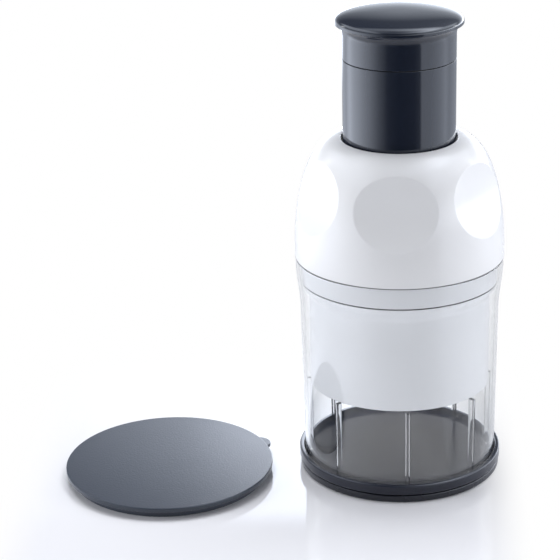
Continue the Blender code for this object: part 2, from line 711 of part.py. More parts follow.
def make_shaft():
    shaft_bottom = HOLDER_TOP - SHAFT_SOCKET
    boss_bottom = CARRIER_BOTTOM - CARRIER_BOSS
    washer_top = boss_bottom - SEAT_GAP
    shoulder = washer_top - WASHER_THICKNESS - SEAT_GAP
    clip_bottom = CARRIER_TOP + SEAT_GAP
    groove_bottom = clip_bottom - SEAT_GAP / 2
    groove_top = clip_bottom + CLIP_THICKNESS + SEAT_GAP / 2
    shaft_top = groove_top + 2 * CLIP_THICKNESS
    shaft = twisted("helix_shaft", shaft_bottom, shoulder, SPRING_STEEL)
    root = SHAFT_JOURNAL_RADIUS - CLIP_GROOVE
    journal = turned(
        "journal",
        [
            (0, shaft_top),
            (SHAFT_JOURNAL_RADIUS - SEAT_GAP, shaft_top),
            (SHAFT_JOURNAL_RADIUS, shaft_top - SEAT_GAP),
            (SHAFT_JOURNAL_RADIUS, groove_top),
            (root, groove_top),
            (root, groove_bottom),
            (SHAFT_JOURNAL_RADIUS, groove_bottom),
            (SHAFT_JOURNAL_RADIUS, shoulder - WASHER_THICKNESS),
            (0, shoulder - WASHER_THICKNESS),
        ],
        None,
        closed=False,
        steps=SMALL_ROUND,
        collection=CUTTERS,
    )
    join(shaft, journal)
    head_top = HOLDER_BOTTOM + SEAT_GAP + BLADE_SCREW_HEAD
    cut(
        shaft,
        cylinder(
            "shaft_thread_hole",
            BLADE_SCREW_SHANK_RADIUS + SEAT_GAP,
            shaft_bottom - SHAFT_SOCKET,
            head_top + BLADE_SCREW_LENGTH + SEAT_GAP,
        ),
    )
    turned(
        "thrust_washer",
        [
            (WASHER_RADIUS, washer_top),
            (WASHER_RADIUS, washer_top - WASHER_THICKNESS),
            (SHAFT_JOURNAL_RADIUS + RUN_GAP, washer_top - WASHER_THICKNESS),
            (SHAFT_JOURNAL_RADIUS + RUN_GAP, washer_top),
        ],
        NATURAL_PLASTIC,
        steps=SMALL_ROUND,
    )
    inner = root + SEAT_GAP / 2
    opening = CLIP_MOUTH / 2
    outline = arc((0, 0), inner + CLIP_WIDTH, opening, 360 - opening, SMALL_ROUND)
    outline += arc((0, 0), inner, 360 - opening, opening, SMALL_ROUND)
    extruded("retaining_clip", outline, clip_bottom, clip_bottom + CLIP_THICKNESS, SPRING_STEEL)
    carrier_radius = TUBE_BORE - SEAT_GAP
    turned(
        "bearing_carrier",
        [
            (carrier_radius - SEAT_GAP, CARRIER_TOP),
            (carrier_radius, CARRIER_TOP - SEAT_GAP),
            (carrier_radius, CARRIER_BOTTOM + SEAT_GAP),
            (carrier_radius - SEAT_GAP, CARRIER_BOTTOM),
            (CARRIER_BOSS_RADIUS, CARRIER_BOTTOM),
            (CARRIER_BOSS_RADIUS - WIPER_EDGE, boss_bottom),
            (SHAFT_JOURNAL_RADIUS + RUN_GAP, boss_bottom),
            (SHAFT_JOURNAL_RADIUS + RUN_GAP, CARRIER_TOP),
        ],
        NATURAL_PLASTIC,
        steps=INNER_ROUND,
    )


# Plunger

def make_plunger():
    flange = TUBE_RADIUS + TUBE_FLANGE
    flange_top = TUBE_BOTTOM + TUBE_FLANGE_THICKNESS
    edge = SEAT_GAP / 2
    turned(
        "plunger_tube",
        [
            (TUBE_RADIUS - edge, TUBE_TOP),
            (TUBE_RADIUS, TUBE_TOP - edge),
            (TUBE_RADIUS, flange_top),
            (flange, flange_top),
            (flange, TUBE_BOTTOM),
            (TUBE_BORE, TUBE_BOTTOM),
            (TUBE_BORE, TUBE_TOP),
        ],
        DARK_GLOSS,
    )
    crown_bottom = CAP_RIM + CAP_EDGE
    crown = []
    steps = 5
    for i in range(steps + 1):
        angle = math.pi / 2 * (1 - i / steps)
        reach = abs(math.cos(angle)) ** (2 / CAP_CROWN_POWER) if i else 0.0
        rise = math.sin(angle) ** (2 / CAP_CROWN_POWER)
        crown.append((CAP_RADIUS * reach, crown_bottom + CAP_CROWN * rise))
    flare = []
    steps = 3
    for i in range(1, steps + 1):
        angle = math.pi / 2 * i / steps
        flare.append(
            (
                CAP_RADIUS - CAP_OVERHANG * math.sin(angle) ** CAP_FLARE_POWER,
                CAP_RIM - CAP_FLARE * (1 - math.cos(angle)),
            )
        )
    spigot = TUBE_BORE - SEAT_GAP
    spigot_bore = spigot - CAP_WALL
    turned(
        "knob_cap",
        [
            *crown,
            (CAP_RADIUS, CAP_RIM),
            *flare,
            (TUBE_RADIUS, CAP_BOTTOM + edge),
            (TUBE_RADIUS - edge, CAP_BOTTOM),
            (spigot, CAP_BOTTOM),
            (spigot, SPIGOT_BOTTOM),
            (spigot_bore, SPIGOT_BOTTOM),
            (spigot_bore, CAP_FLARE_BOTTOM),
            (CAP_RADIUS - 2 * CAP_WALL, CAP_RIM),
            (CAP_RADIUS - 3 * CAP_WALL, CAP_TOP - CAP_WALL),
            (0, CAP_TOP - CAP_WALL),
        ],
        DARK_GLOSS,
        closed=False,
    )


# Domed housing

def dome_radius(z):
    """The dome's outer radius at a height, on its superellipse."""
    rise = min(max((z - DOME_BOTTOM) / (DOME_TOP - DOME_BOTTOM), 0.0), 1.0)
    angle = math.asin(rise ** (DOME_TOP_POWER / 2))
    return HOLE_RADIUS + (DOME_RADIUS - HOLE_RADIUS) * math.cos(angle) ** (2 / DOME_SIDE_POWER)


def dome_line(wall, steps):
    """The dome's meridian, this far inside its surface, from the hole down to its lower edge."""
    line = []
    for i in range(steps + 1):
        angle = math.pi / 2 * (1 - i / steps)
        side = max(math.cos(angle), 0.0) ** (2 / DOME_SIDE_POWER)
        rise = math.sin(angle) ** (2 / DOME_TOP_POWER)
        reach = HOLE_RADIUS + (DOME_RADIUS - wall - HOLE_RADIUS) * side
        line.append((reach, DOME_BOTTOM + (DOME_TOP - wall - DOME_BOTTOM) * rise))
    return line


def grip_circle():
    """Centre (r, z) and radius of the lying cylinder that hollows a grip: it passes through the
    grip's top and bottom on the dome, and lies level with the grip's two sides at mid height."""
    middle = DOME_BOTTOM + GRIP_CENTRE
    top = middle + GRIP_HEIGHT / 2
    bottom = middle - GRIP_HEIGHT / 2
    first = Vector((dome_radius(bottom), bottom))
    second = Vector((dome_radius(middle) * math.cos(math.radians(GRIP_HALF_ANGLE)), middle))
    third = Vector((dome_radius(top), top))
    a = second - first
    b = third - first
    twice_area = 2 * (a.x * b.y - a.y * b.x)
    centre = Vector(
        (
            (b.y * a.length_squared - a.y * b.length_squared) / twice_area,
            (a.x * b.length_squared - b.x * a.length_squared) / twice_area,
        )
    )
    return first + centre, centre.length


def grip_cutter(name, degrees, extra, steps):
    """A lying cylinder across the dome, its radius larger by this much."""
    centre, radius = grip_circle()
    mesh = bpy.data.meshes.new(name)
    body = bmesh.new()
    bmesh.ops.create_cone(
        body,
        cap_ends=True,
        segments=steps,
        radius1=radius + extra,
        radius2=radius + extra,
        depth=2 * DOME_RADIUS * math.sin(math.radians(180.0 / GRIP_COUNT)),
    )
    bmesh.ops.rotate(body, matrix=Matrix.Rotation(math.pi / 2, 3, "Y"), verts=body.verts)
    body.to_mesh(mesh)
    body.free()
    made = add_object(name, mesh, None, CUTTERS)
    made.location = (*place(centre.x, degrees), centre.y)
    made.rotation_euler = (0, 0, math.radians(degrees))
    return made


def make_housing():
    edge = DOME_HOLE_EDGE
    hole_top = DOME_TOP - edge
    roof = DOME_TOP - DOME_WALL
    outside = [point for point in dome_line(0, 11) if point[0] > HOLE_RADIUS + edge]
    dome = turned(
        "dome_housing",
        [
            *arc((HOLE_RADIUS + edge, hole_top), edge, 180, 90, 3),
            *outside,
            (SKIRT_RADIUS, DOME_BOTTOM),
            (SKIRT_RADIUS, SKIRT_BOTTOM + SEAT_GAP),
            (SKIRT_RADIUS - SEAT_GAP, SKIRT_BOTTOM),
            (COLLAR_RADIUS, SKIRT_BOTTOM),
            (HOLE_RADIUS, DOME_BOTTOM),
        ],
        WHITE_PLASTIC,
        steps=DOME_ROUND,
    )
    collar_bottom = BUSH_BOTTOM + BUSH_FLANGE + SEAT_GAP
    inside = [point for point in dome_line(DOME_WALL, 5) if point[0] > COLLAR_RADIUS]
    cavity = turned(
        "dome_cavity",
        [
            (0, roof),
            (COLLAR_BORE, roof),
            (COLLAR_BORE, collar_bottom),
            (COLLAR_RADIUS, collar_bottom),
            (COLLAR_RADIUS, roof),
            *inside,
            (SKIRT_BORE, DOME_BOTTOM + 2 * DOME_WALL),
            (SKIRT_BORE, SKIRT_BOTTOM - SKIRT_WALL),
            (0, SKIRT_BOTTOM - SKIRT_WALL),
        ],
        None,
        closed=False,
        collection=CUTTERS,
    )
    for number, degrees in enumerate(around(GRIP_COUNT, GRIP_TURN)):
        cut(dome, grip_cutter(f"grip_{number}", degrees, 0.0, DOME_ROUND))
        cut(cavity, grip_cutter(f"grip_back_{number}", degrees, DOME_WALL, ROUND))
    screws = [place(BOSS_CIRCLE, degrees) for degrees in around(SCREW_COUNT, SCREW_TURN)]
    boss_bottom = PLATE_TOP + SEAT_GAP
    for number, at in enumerate(screws):
        cut(cavity, cylinder(f"boss_{number}", BOSS_RADIUS, boss_bottom, DOME_TOP, at=at))
    cut(dome, cavity)
    head_top = PLATE_BOTTOM - SEAT_GAP
    screw_bore = SCREW_SHANK_RADIUS + SEAT_GAP
    for number, at in enumerate(screws):
        cut(dome, cylinder(f"boss_hole_{number}", screw_bore, PLATE_BOTTOM, head_top + SCREW_LENGTH + RUN_GAP, at=at))
    make_guide(collar_bottom)
    make_drive_plate(screws, head_top, screw_bore)


def make_guide(collar_bottom):
    turned(
        "guide_bush",
        [
            (BUSH_RADIUS, BUSH_TOP),
            (BUSH_RADIUS, collar_bottom - SEAT_GAP),
            (COLLAR_RADIUS, collar_bottom - SEAT_GAP),
            (COLLAR_RADIUS, BUSH_BOTTOM),
            (BUSH_BORE + SEAT_GAP, BUSH_BOTTOM),
            (BUSH_BORE, BUSH_BOTTOM + SEAT_GAP),
            (BUSH_BORE, BUSH_TOP),
        ],
        NATURAL_PLASTIC,
    )


def make_drive_plate(screws, head_top, screw_bore):
    plate = stacked(
        "drive_plate",
        [
            (PLATE_RADIUS, PLATE_BOTTOM),
            (PLATE_RADIUS, PLATE_TOP - SEAT_GAP),
            (PLATE_RADIUS - SEAT_GAP, PLATE_TOP),
        ],
        WHITE_SLEEVE,
    )
    cut(plate, cylinder("nut_hole", NUT_BODY_RADIUS + SEAT_GAP, HOLDER_TOP, DOME_BOTTOM, steps=INNER_ROUND))
    for number, (x, y) in enumerate(screws):
        cut(plate, cylinder(f"plate_hole_{number}", screw_bore, HOLDER_TOP, DOME_BOTTOM, at=(x, y)))
        turned(
            f"housing_screw_{number + 1}",
            [
                (0, head_top + SCREW_LENGTH),
                (SCREW_SHANK_RADIUS / 2, head_top + SCREW_LENGTH),
                (SCREW_SHANK_RADIUS, head_top + SCREW_LENGTH - SCREW_SHANK_RADIUS),
                (SCREW_SHANK_RADIUS, head_top),
                (SCREW_HEAD_RADIUS, head_top),
                (SCREW_HEAD_RADIUS, head_top - SCREW_HEAD / 2),
                (SCREW_HEAD_RADIUS - SCREW_HEAD / 2, head_top - SCREW_HEAD),
                (0, head_top - SCREW_HEAD),
            ],
            SPRING_STEEL,
            closed=False,
            steps=SCREW_ROUND,
            at=(x, y, 0),
        )
    flange_bottom = PLATE_TOP + SEAT_GAP
    flange_top = flange_bottom + NUT_FLANGE_THICKNESS
    nut_top = PLATE_BOTTOM + NUT_HEIGHT
    nut = turned(
        "helix_nut",
        [
            (0, nut_top),
            (NUT_BODY_RADIUS, nut_top),
            (NUT_BODY_RADIUS, flange_top),
            (NUT_FLANGE_RADIUS, flange_top),
            (NUT_FLANGE_RADIUS, flange_bottom),
            (NUT_BODY_RADIUS, flange_bottom),
            (NUT_BODY_RADIUS, PLATE_BOTTOM),
            (0, PLATE_BOTTOM),
        ],
        NATURAL_PLASTIC,
        closed=False,
        steps=INNER_ROUND,
    )
    cut(nut, twisted("nut_bore", HOLDER_TOP, nut_top + PLATE_CLEARANCE, None, CUTTERS, SEAT_GAP))
    bumper_inside = TUBE_BORE - SEAT_GAP
    bumper_outside = TUBE_RADIUS + TUBE_FLANGE
    turned(
        "bumper_ring",
        [
            (bumper_outside - SEAT_GAP, BUMPER_TOP),
            (bumper_outside, BUMPER_TOP - SEAT_GAP),
            (bumper_outside, PLATE_TOP + SEAT_GAP),
            (bumper_inside, PLATE_TOP + SEAT_GAP),
            (bumper_inside, BUMPER_TOP),
        ],
        DARK_RUBBER,
        steps=INNER_ROUND,
    )


# Return spring, between the drive plate and the bearing carrier

def make_spring():
    seat_inside = SPRING_RADIUS - SPRING_SEAT_WIDTH / 2
    seat_outside = SPRING_RADIUS + SPRING_SEAT_WIDTH / 2
    seat_bottom = PLATE_TOP + SEAT_GAP
    seat_top = seat_bottom + SPRING_SEAT_THICKNESS
    turned(
        "spring_seat",
        [
            (seat_outside, seat_top),
            (seat_outside, seat_bottom),
            (seat_inside, seat_bottom),
            (seat_inside, seat_top),
        ],
        SPRING_STEEL,
        steps=INNER_ROUND,
    )
    low = SPRING_BOTTOM + SPRING_WIRE / 2
    high = CARRIER_BOTTOM - SEAT_GAP - SPRING_WIRE / 2
    per_turn = 8
    free_turns = SPRING_TURNS - 2
    free_rise = high - low - 2 * SPRING_END_PITCH
    curve = bpy.data.curves.new("return_spring", "CURVE")
    curve.dimensions = "3D"
    curve.bevel_depth = SPRING_WIRE / 2
    curve.bevel_resolution = 1
    curve.use_fill_caps = True
    spline = curve.splines.new("POLY")
    spline.points.add(per_turn * SPRING_TURNS)
    for i, point in enumerate(spline.points):
        turns = i / per_turn
        ends = min(turns, 1.0) + max(turns - SPRING_TURNS + 1, 0.0)
        free = min(max(turns - 1.0, 0.0), free_turns)
        height = low + SPRING_END_PITCH * ends + free_rise * free / free_turns
        angle = 2 * math.pi * turns
        point.co = (SPRING_RADIUS * math.cos(angle), SPRING_RADIUS * math.sin(angle), height, 1.0)
    made = bpy.data.objects.new("return_spring", curve)
    curve.materials.append(SPRING_STEEL)
    PARTS.objects.link(made)


# Storage lid, lying beside the chopper

def make_lid():
    plug_radius = cup_outside(CUP_RIM) - CUP_WALL - RUN_GAP
    plug_bore = plug_radius - LID_PLUG_WALL
    lid_top = LID_PLUG + LID_PLATE
    crown = [
        (LID_RADIUS * share, lid_top + LID_CROWN * (1 - share * share))
        for share in (0.0, 0.5)
    ]
    rounding = arc((LID_RADIUS - LID_EDGE, lid_top - LID_EDGE), LID_EDGE, 90, 0, 2)
    lid = turned(
        "storage_lid",
        [
            *crown,
            *rounding,
            (LID_RADIUS, LID_PLUG + SEAT_GAP),
            (LID_RADIUS - SEAT_GAP, LID_PLUG),
            (plug_radius, LID_PLUG),
            (plug_radius, SEAT_GAP),
            (plug_radius - SEAT_GAP, 0),
            (plug_bore, 0),
            (plug_bore, LID_PLUG),
            (0, LID_PLUG),
        ],
        DARK_SATIN,
        closed=False,
        at=(LID_X, LID_Y, 0),
    )
    angle = math.radians(LID_TAB_TURN)
    distance = LID_RADIUS + LID_TAB_REACH - LID_TAB_RADIUS
    tab_bottom = LID_PLUG + SEAT_GAP
    tab = turned(
        "lid_tab",
        [
            (0, tab_bottom + LID_TAB_THICKNESS),
            (LID_TAB_RADIUS - LID_EDGE, tab_bottom + LID_TAB_THICKNESS),
            (LID_TAB_RADIUS, tab_bottom + LID_TAB_THICKNESS - LID_EDGE),
            (LID_TAB_RADIUS, tab_bottom + LID_EDGE),
            (LID_TAB_RADIUS - LID_EDGE, tab_bottom),
            (0, tab_bottom),
        ],
        None,
        closed=False,
        steps=SMALL_ROUND,
        collection=CUTTERS,
        at=(LID_X + distance * math.cos(angle), LID_Y + distance * math.sin(angle), 0),
    )
    join(lid, tab)


make_base()
make_cup()
make_sleeve()
make_holder(make_blade())
make_shaft()
make_plunger()
make_housing()
make_spring()
make_lid()

shading = new_shading()
for part in PARTS.objects:
    part.modifiers.new("shading", "NODES").node_group = shading
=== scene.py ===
"""A push-down kitchen chopper on a pale studio floor: dark base, clear cup, white sleeve and
domed housing, dark plunger, the blade inside, and the storage lid lying beside it."""

import math

import bmesh
import bpy
from mathutils import Matrix, Vector


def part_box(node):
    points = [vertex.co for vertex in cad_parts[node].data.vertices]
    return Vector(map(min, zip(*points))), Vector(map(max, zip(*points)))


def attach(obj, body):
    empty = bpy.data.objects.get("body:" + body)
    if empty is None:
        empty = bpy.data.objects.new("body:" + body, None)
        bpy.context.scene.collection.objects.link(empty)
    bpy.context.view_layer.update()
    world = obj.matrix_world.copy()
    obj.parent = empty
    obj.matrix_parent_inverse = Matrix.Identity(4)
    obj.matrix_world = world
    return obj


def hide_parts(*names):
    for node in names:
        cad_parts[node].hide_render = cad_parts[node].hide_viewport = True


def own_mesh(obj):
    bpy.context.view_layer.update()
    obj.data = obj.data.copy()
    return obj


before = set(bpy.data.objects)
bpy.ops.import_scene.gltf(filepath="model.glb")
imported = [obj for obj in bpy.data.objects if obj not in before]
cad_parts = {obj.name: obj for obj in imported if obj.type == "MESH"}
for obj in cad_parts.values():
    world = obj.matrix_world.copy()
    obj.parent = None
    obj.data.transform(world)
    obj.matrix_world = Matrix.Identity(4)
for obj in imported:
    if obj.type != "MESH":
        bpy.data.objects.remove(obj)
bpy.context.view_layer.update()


# Soft mat. A matt rubber disc under the tray, moulded with a foot ring and a centre pad, and
# relieved by a millimetre between them so that it grips the table at its edge.

MM = 0.001


def eased(points, steps=4):
    """A profile in mm with each corner given as (r, z, radius) rounded by that radius."""
    edge_share = 0.49  # the most of an edge that one rounding takes
    line = []
    for i, point in enumerate(points):
        if len(point) == 2:
            line.append(tuple(point))
            continue
        here = Vector(point[:2])
        back = Vector(points[i - 1][:2]) - here
        ahead = Vector(points[(i + 1) % len(points)][:2]) - here
        half = back.angle(ahead) / 2
        reach = min(point[2] / math.tan(half), back.length * edge_share, ahead.length * edge_share)
        middle = (back.normalized() + ahead.normalized()).normalized()
        centre = here + middle * (reach * math.tan(half) / math.sin(half))
        first = here + back.normalized() * reach - centre
        last = here + ahead.normalized() * reach - centre
        sweep = math.atan2(first.cross(last), first.dot(last))
        arc = [tuple(centre + Matrix.Rotation(sweep * k / steps, 2) @ first) for k in range(steps + 1)]
        # A point beside the rounding keeps the rest of a long edge flat in the shading.
        lead = reach * 1.3
        if back.length > 3 * reach:
            arc.insert(0, tuple(here + back.normalized() * lead))
        if ahead.length > 3 * reach:
            arc.append(tuple(here + ahead.normalized() * lead))
        line += arc
    return line


def even_turns(count):
    return [2 * math.pi * i / count for i in range(count)]


def turned(profile, angles=even_turns(192), closed=True, centre=(0.0, 0.0)):
    """Points and faces of a profile of (r, z) in mm turned round Z, running down its outer side."""
    points, faces, rings = [], [], []
    for r, z in profile:
        ring = [(centre[0] + r * math.cos(a), centre[1] + r * math.sin(a), z) for a in angles]
        if r < 1e-6:
            ring = ring[:1]
        rings.append([len(points) + i % len(ring) for i in range(len(angles))])
        points += [tuple(v * MM for v in point) for point in ring]
    pairs = list(zip(rings, rings[1:]))
    if closed and profile[0][0] > 0:
        pairs.append((rings[-1], rings[0]))
    for upper, lower in pairs:
        for i in range(len(angles)):
            j = (i + 1) % len(angles)
            corners = dict.fromkeys((upper[i], lower[i], lower[j], upper[j]))
            faces.append(tuple(corners))
    return points, faces


def shade(mesh, sharp=32):
    """Shades a mesh smooth but for edges sharper than this many degrees."""
    mesh.shade_smooth()
    mesh.set_sharp_from_angle(angle=math.radians(sharp))


def placed(name, data):
    """A new object in the scene, at the origin."""
    made = bpy.data.objects.new(name, data)
    bpy.context.scene.collection.objects.link(made)
    return made


def mesh_piece(name, points, faces, material):
    """A piece from points in metres, shaded smooth but for its sharp edges."""
    mesh = bpy.data.meshes.new(name)
    mesh.from_pydata(points, [], faces)
    mesh.materials.append(material)
    shade(mesh)
    return placed(name, mesh)


def turned_piece(name, corners, material, **ring):
    """A piece turned round Z from the corners of its profile, (r, z) or (r, z, rounding) in mm."""
    points, faces = turned(eased(corners), **ring)
    return mesh_piece(name, points, faces, material)


def fit_in(piece, body, slot, *nodes):
    """The piece moves with this body and stands for these solids, whose meshes it hides; the slot, a
    finish's name, is not used.
    """
    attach(piece, body)
    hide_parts(*nodes)


def node_group(name, kind, inputs, outputs):
    """An empty group with sockets given as (name, kind) or (name, kind, first value)."""
    group = bpy.data.node_groups.new(name, kind)
    for way, sockets in (("INPUT", inputs), ("OUTPUT", outputs)):
        for label, sort, *value in sockets:
            made = group.interface.new_socket(label, in_out=way, socket_type=f"NodeSocket{sort}")
            if value:
                made.default_value = value[0]
    return group


def wire(tree):
    """Short ways to fill one node tree: add a node, feed its sockets, and calculate."""

    def feed(node, entries):
        """Links outputs to these sockets of a node, or sets them to plain values."""
        for name, value in entries.items():
            if isinstance(value, bpy.types.NodeSocket):
                tree.links.new(value, node.inputs[name])
            else:
                node.inputs[name].default_value = value

    def add(kind, entries=None, **settings):
        made = tree.nodes.new(kind)
        for name, value in settings.items():
            setattr(made, name, value)
        feed(made, entries or {})
        return made

    def calc(operation, *values):
        return add("ShaderNodeMath", dict(enumerate(values)), operation=operation).outputs[0]

    return add, feed, calc


def toned(add, colour, level):
    """A colour made darker or lighter by this factor."""
    return add("ShaderNodeVectorMath", {0: colour, "Scale": level}, operation="SCALE").outputs[0]


def moulded_finish():
    """A group for moulded plastic and rubber: slight flow clouding in the colour, uneven gloss
    where hands and cloths have been, and a fine grain for the height of a bump."""
    group = node_group(
        "moulded_finish",
        "ShaderNodeTree",
        [
            ("Colour", "Color", (0.5, 0.5, 0.5, 1.0)),
            ("Clouding", "Float", 0.03),
            ("Cloud Scale", "Float", 18.0),
            ("Roughness", "Float", 0.3),
            ("Uneven Gloss", "Float", 0.05),
            ("Gloss Scale", "Float", 45.0),
            ("Grain Scale", "Float", 2500.0),
        ],
        [("Colour", "Color"), ("Roughness", "Float"), ("Height", "Float")],
    )
    add, _, calc = wire(group)
    given = add("NodeGroupInput").outputs
    where = add("ShaderNodeTexCoord").outputs["Object"]

    def noise(scale, detail):
        made = add("ShaderNodeTexNoise", {"Vector": where, "Scale": given[scale], "Detail": detail})
        return made.outputs["Fac"]

    cloud = calc("SUBTRACT", noise("Cloud Scale", 3.0), 0.5)
    level = calc("MULTIPLY_ADD", cloud, given["Clouding"], 1.0)
    patchy = calc("SUBTRACT", noise("Gloss Scale", 5.0), 0.5)
    add(
        "NodeGroupOutput",
        {
            "Colour": toned(add, given["Colour"], level),
            "Roughness": calc("MULTIPLY_ADD", patchy, given["Uneven Gloss"], given["Roughness"]),
            "Height": noise("Grain Scale", 2.0),
        },
    )
    return group


MOULDED = moulded_finish()


def new_material(name):
    """A material, its nodes, and the short ways to fill its tree."""
    material = bpy.data.materials.new(name)
    material.use_nodes = True
    return material, material.node_tree.nodes, *wire(material.node_tree)


def plastic(name, colour, roughness, clouding=0.03, uneven=0.05, grain=2500.0, depth=0.0, ior=1.5):
    """A Principled material fed by the moulded finish, with a bump of this depth in mm."""
    material, nodes, add, feed, _ = new_material(name)
    finish = add(
        "ShaderNodeGroup",
        {
            "Colour": (*colour, 1.0),
            "Clouding": clouding,
            "Roughness": roughness,
            "Uneven Gloss": uneven,
            "Grain Scale": grain,
        },
        node_tree=MOULDED,
    ).outputs
    shader = nodes["Principled BSDF"]
    feed(shader, {"Base Color": finish["Colour"], "Roughness": finish["Roughness"], "IOR": ior})
    if depth:
        bump = {"Strength": 1.0, "Distance": depth * MM, "Height": finish["Height"]}
        feed(shader, {"Normal": add("ShaderNodeBump", bump).outputs["Normal"]})
    return material


dark_rubber = plastic("matt_rubber", (0.010, 0.011, 0.018), 0.27, 0.10, 0.10, 1800.0, 0.006)
mat_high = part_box("non_slip_base")[1]
mat_radius = mat_high.x / MM
mat_top = mat_high.z / MM
mat_relief = 1.0
mat_ring_bore = mat_radius - 10.0
mat_pad_radius = 15.0
soft_mat = turned_piece(
    "soft_mat",
    [
        (0, mat_top),
        (mat_radius, mat_top, 0.5),
        (mat_radius, 0, 0.5),
        (mat_ring_bore, 0, 0.2),
        (mat_ring_bore - mat_relief, mat_relief, 0.2),
        (mat_pad_radius + mat_relief, mat_relief, 0.2),
        (mat_pad_radius, 0, 0.2),
        (0, 0),
    ],
    dark_rubber,
)
fit_in(soft_mat, "base", "dark_rubber", "non_slip_base")


# Base tray. A dark plastic moulding, a dish with a low rounded ring round its floor; the cup
# stands inside the ring, and the blade works down towards the floor.

dark_tray = plastic("tray_dark_plastic", (0.008, 0.010, 0.021), 0.20, 0.05, 0.03)
tray_low, tray_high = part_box("base_tray")
tray_radius = tray_high.x / MM
tray_bottom, tray_top = tray_low.z / MM, tray_high.z / MM
tray_floor = tray_top - 3.0
tray_bore = tray_radius - 2.4
tray_step = 0.5
step_radius = mat_radius - 2 * tray_step
tray = turned_piece(
    "tray",
    [
        (0, tray_floor),
        (tray_bore, tray_floor, 0.5),
        (tray_bore, tray_top, 0.45),
        (tray_radius, tray_top, 0.9),
        (tray_radius, tray_bottom + 2 * tray_step, 0.3),
        (tray_radius - tray_step / 2, tray_bottom + tray_step, 0.1),
        (step_radius, tray_bottom + tray_step),
        (step_radius, tray_bottom),
        (0, tray_bottom),
    ],
    dark_tray,
)
fit_in(tray, "base", "dark_satin_plastic", "base_tray")


# Clear cup. One clear moulding, open at both ends, a little wider towards the top and flared at
# the rim. Eight round-nosed ribs inside carry the white sleeve; they are one piece with the wall.

def geometry_tree(name, inputs):
    """An empty Geometry Nodes tree with these named inputs, and the ways to fill and end it."""
    tree = node_group(
        name,
        "GeometryNodeTree",
        [("Geometry", "Geometry"), *inputs, ("Material", "Material")],
        [("Geometry", "Geometry")],
    )
    add, feed, calc = wire(tree)
    given = add("NodeGroupInput").outputs

    def end(shape):
        """Makes copies real, sets the material, and gives back the finished tree."""
        real = add("GeometryNodeRealizeInstances", {0: shape}).outputs[0]
        paint = add("GeometryNodeSetMaterial", {"Geometry": real, "Material": given["Material"]})
        add("NodeGroupOutput", {0: paint.outputs[0]})
        return tree

    return given, add, feed, calc, end


def settled(piece, modifier):
    """Makes what this modifier does to a piece its plain mesh."""
    graph = bpy.context.evaluated_depsgraph_get()
    mesh = bpy.data.meshes.new_from_object(piece.evaluated_get(graph))
    piece.modifiers.remove(modifier)
    piece.data = mesh
    mesh.name = piece.name
    return mesh


def run_tree(piece, tree, values):
    """Puts the piece's mesh through the tree, with these values for its named inputs."""
    modifier = piece.modifiers.new(tree.name, "NODES")
    modifier.node_group = tree
    for item in tree.interface.items_tree:
        if item.item_type == "SOCKET" and item.in_out == "INPUT" and item.name in values:
            modifier[item.identifier] = values[item.name]
    piece.update_tag()
    bpy.context.view_layer.update()
    return settled(piece, modifier)


def copies_round(add, calc, shape, count, turn):
    """Copies of a shape at even turns round the axis, the first at this turn."""
    places = add("GeometryNodeMeshLine", {"Offset": (0, 0, 0), "Count": count})
    share = calc("DIVIDE", add("GeometryNodeInputIndex").outputs[0], count)
    angle = calc("MULTIPLY_ADD", share, 2 * math.pi, turn)
    copies = add(
        "GeometryNodeInstanceOnPoints",
        {
            "Points": places.outputs["Mesh"],
            "Instance": shape,
            "Rotation": add("ShaderNodeCombineXYZ", {"Z": angle}).outputs[0],
        },
    )
    return copies.outputs[0]


def ribs_tree():
    """Repeats one rib round the axis and makes the ribs and the wall one solid."""
    given, add, feed, calc, end = geometry_tree(
        "cup_ribs", [("Wall", "Object"), ("Count", "Int", 8), ("Turn", "Float", 0.0)]
    )
    ribs = copies_round(add, calc, given["Geometry"], given["Count"], given["Turn"])
    wall = add("GeometryNodeObjectInfo", {"Object": given["Wall"]}).outputs["Geometry"]
    union = add("GeometryNodeMeshBoolean", {"Mesh 2": wall}, operation="UNION", solver="EXACT")
    feed(union, {"Mesh 2": add("GeometryNodeRealizeInstances", {0: ribs}).outputs[0]})
    return end(union.outputs["Mesh"])


def mixed(add, share, first, second):
    """The first shader, and by this share the second."""
    return add("ShaderNodeMixShader", {0: share, 1: first, 2: second}).outputs[0]


def clear_plastic():
    """Clear moulding that bends light a little, and lets the lamps through to what is inside."""
    material, nodes, add, feed, calc = new_material("clear_cup_plastic")
    finish = add("ShaderNodeGroup", node_tree=MOULDED)
    feed(finish, {"Roughness": 0.02, "Uneven Gloss": 0.03})
    shader = nodes["Principled BSDF"]
    feed(
        shader,
        {
            "Base Color": (0.975, 0.981, 0.986, 1.0),
            "Transmission Weight": 1.0,
            "IOR": 1.49,
            "Roughness": finish.outputs["Roughness"],
        },
    )
    through = add("ShaderNodeBsdfTransparent", {"Color": (0.96, 0.966, 0.972, 1.0)})
    path = add("ShaderNodeLightPath").outputs
    passing = calc("MAXIMUM", path["Is Shadow Ray"], path["Is Diffuse Ray"])
    surface = mixed(add, passing, shader.outputs[0], through.outputs[0])
    feed(nodes["Material Output"], {"Surface": surface})
    return material


def ease(value):
    """A soft step from 0 to 1."""
    value = min(max(value, 0.0), 1.0)
    return value * value * (3 - 2 * value)


def prism(outline, low, high):
    """Points and faces of an upright prism on an outline that runs anticlockwise, in mm."""
    count = len(outline)
    points = [(x * MM, y * MM, z * MM) for z in (low, high) for x, y in outline]
    faces = [(i, (i + 1) % count, count + (i + 1) % count, count + i) for i in range(count)]
    faces += [tuple(reversed(range(count))), tuple(range(count, 2 * count))]
    return points, faces


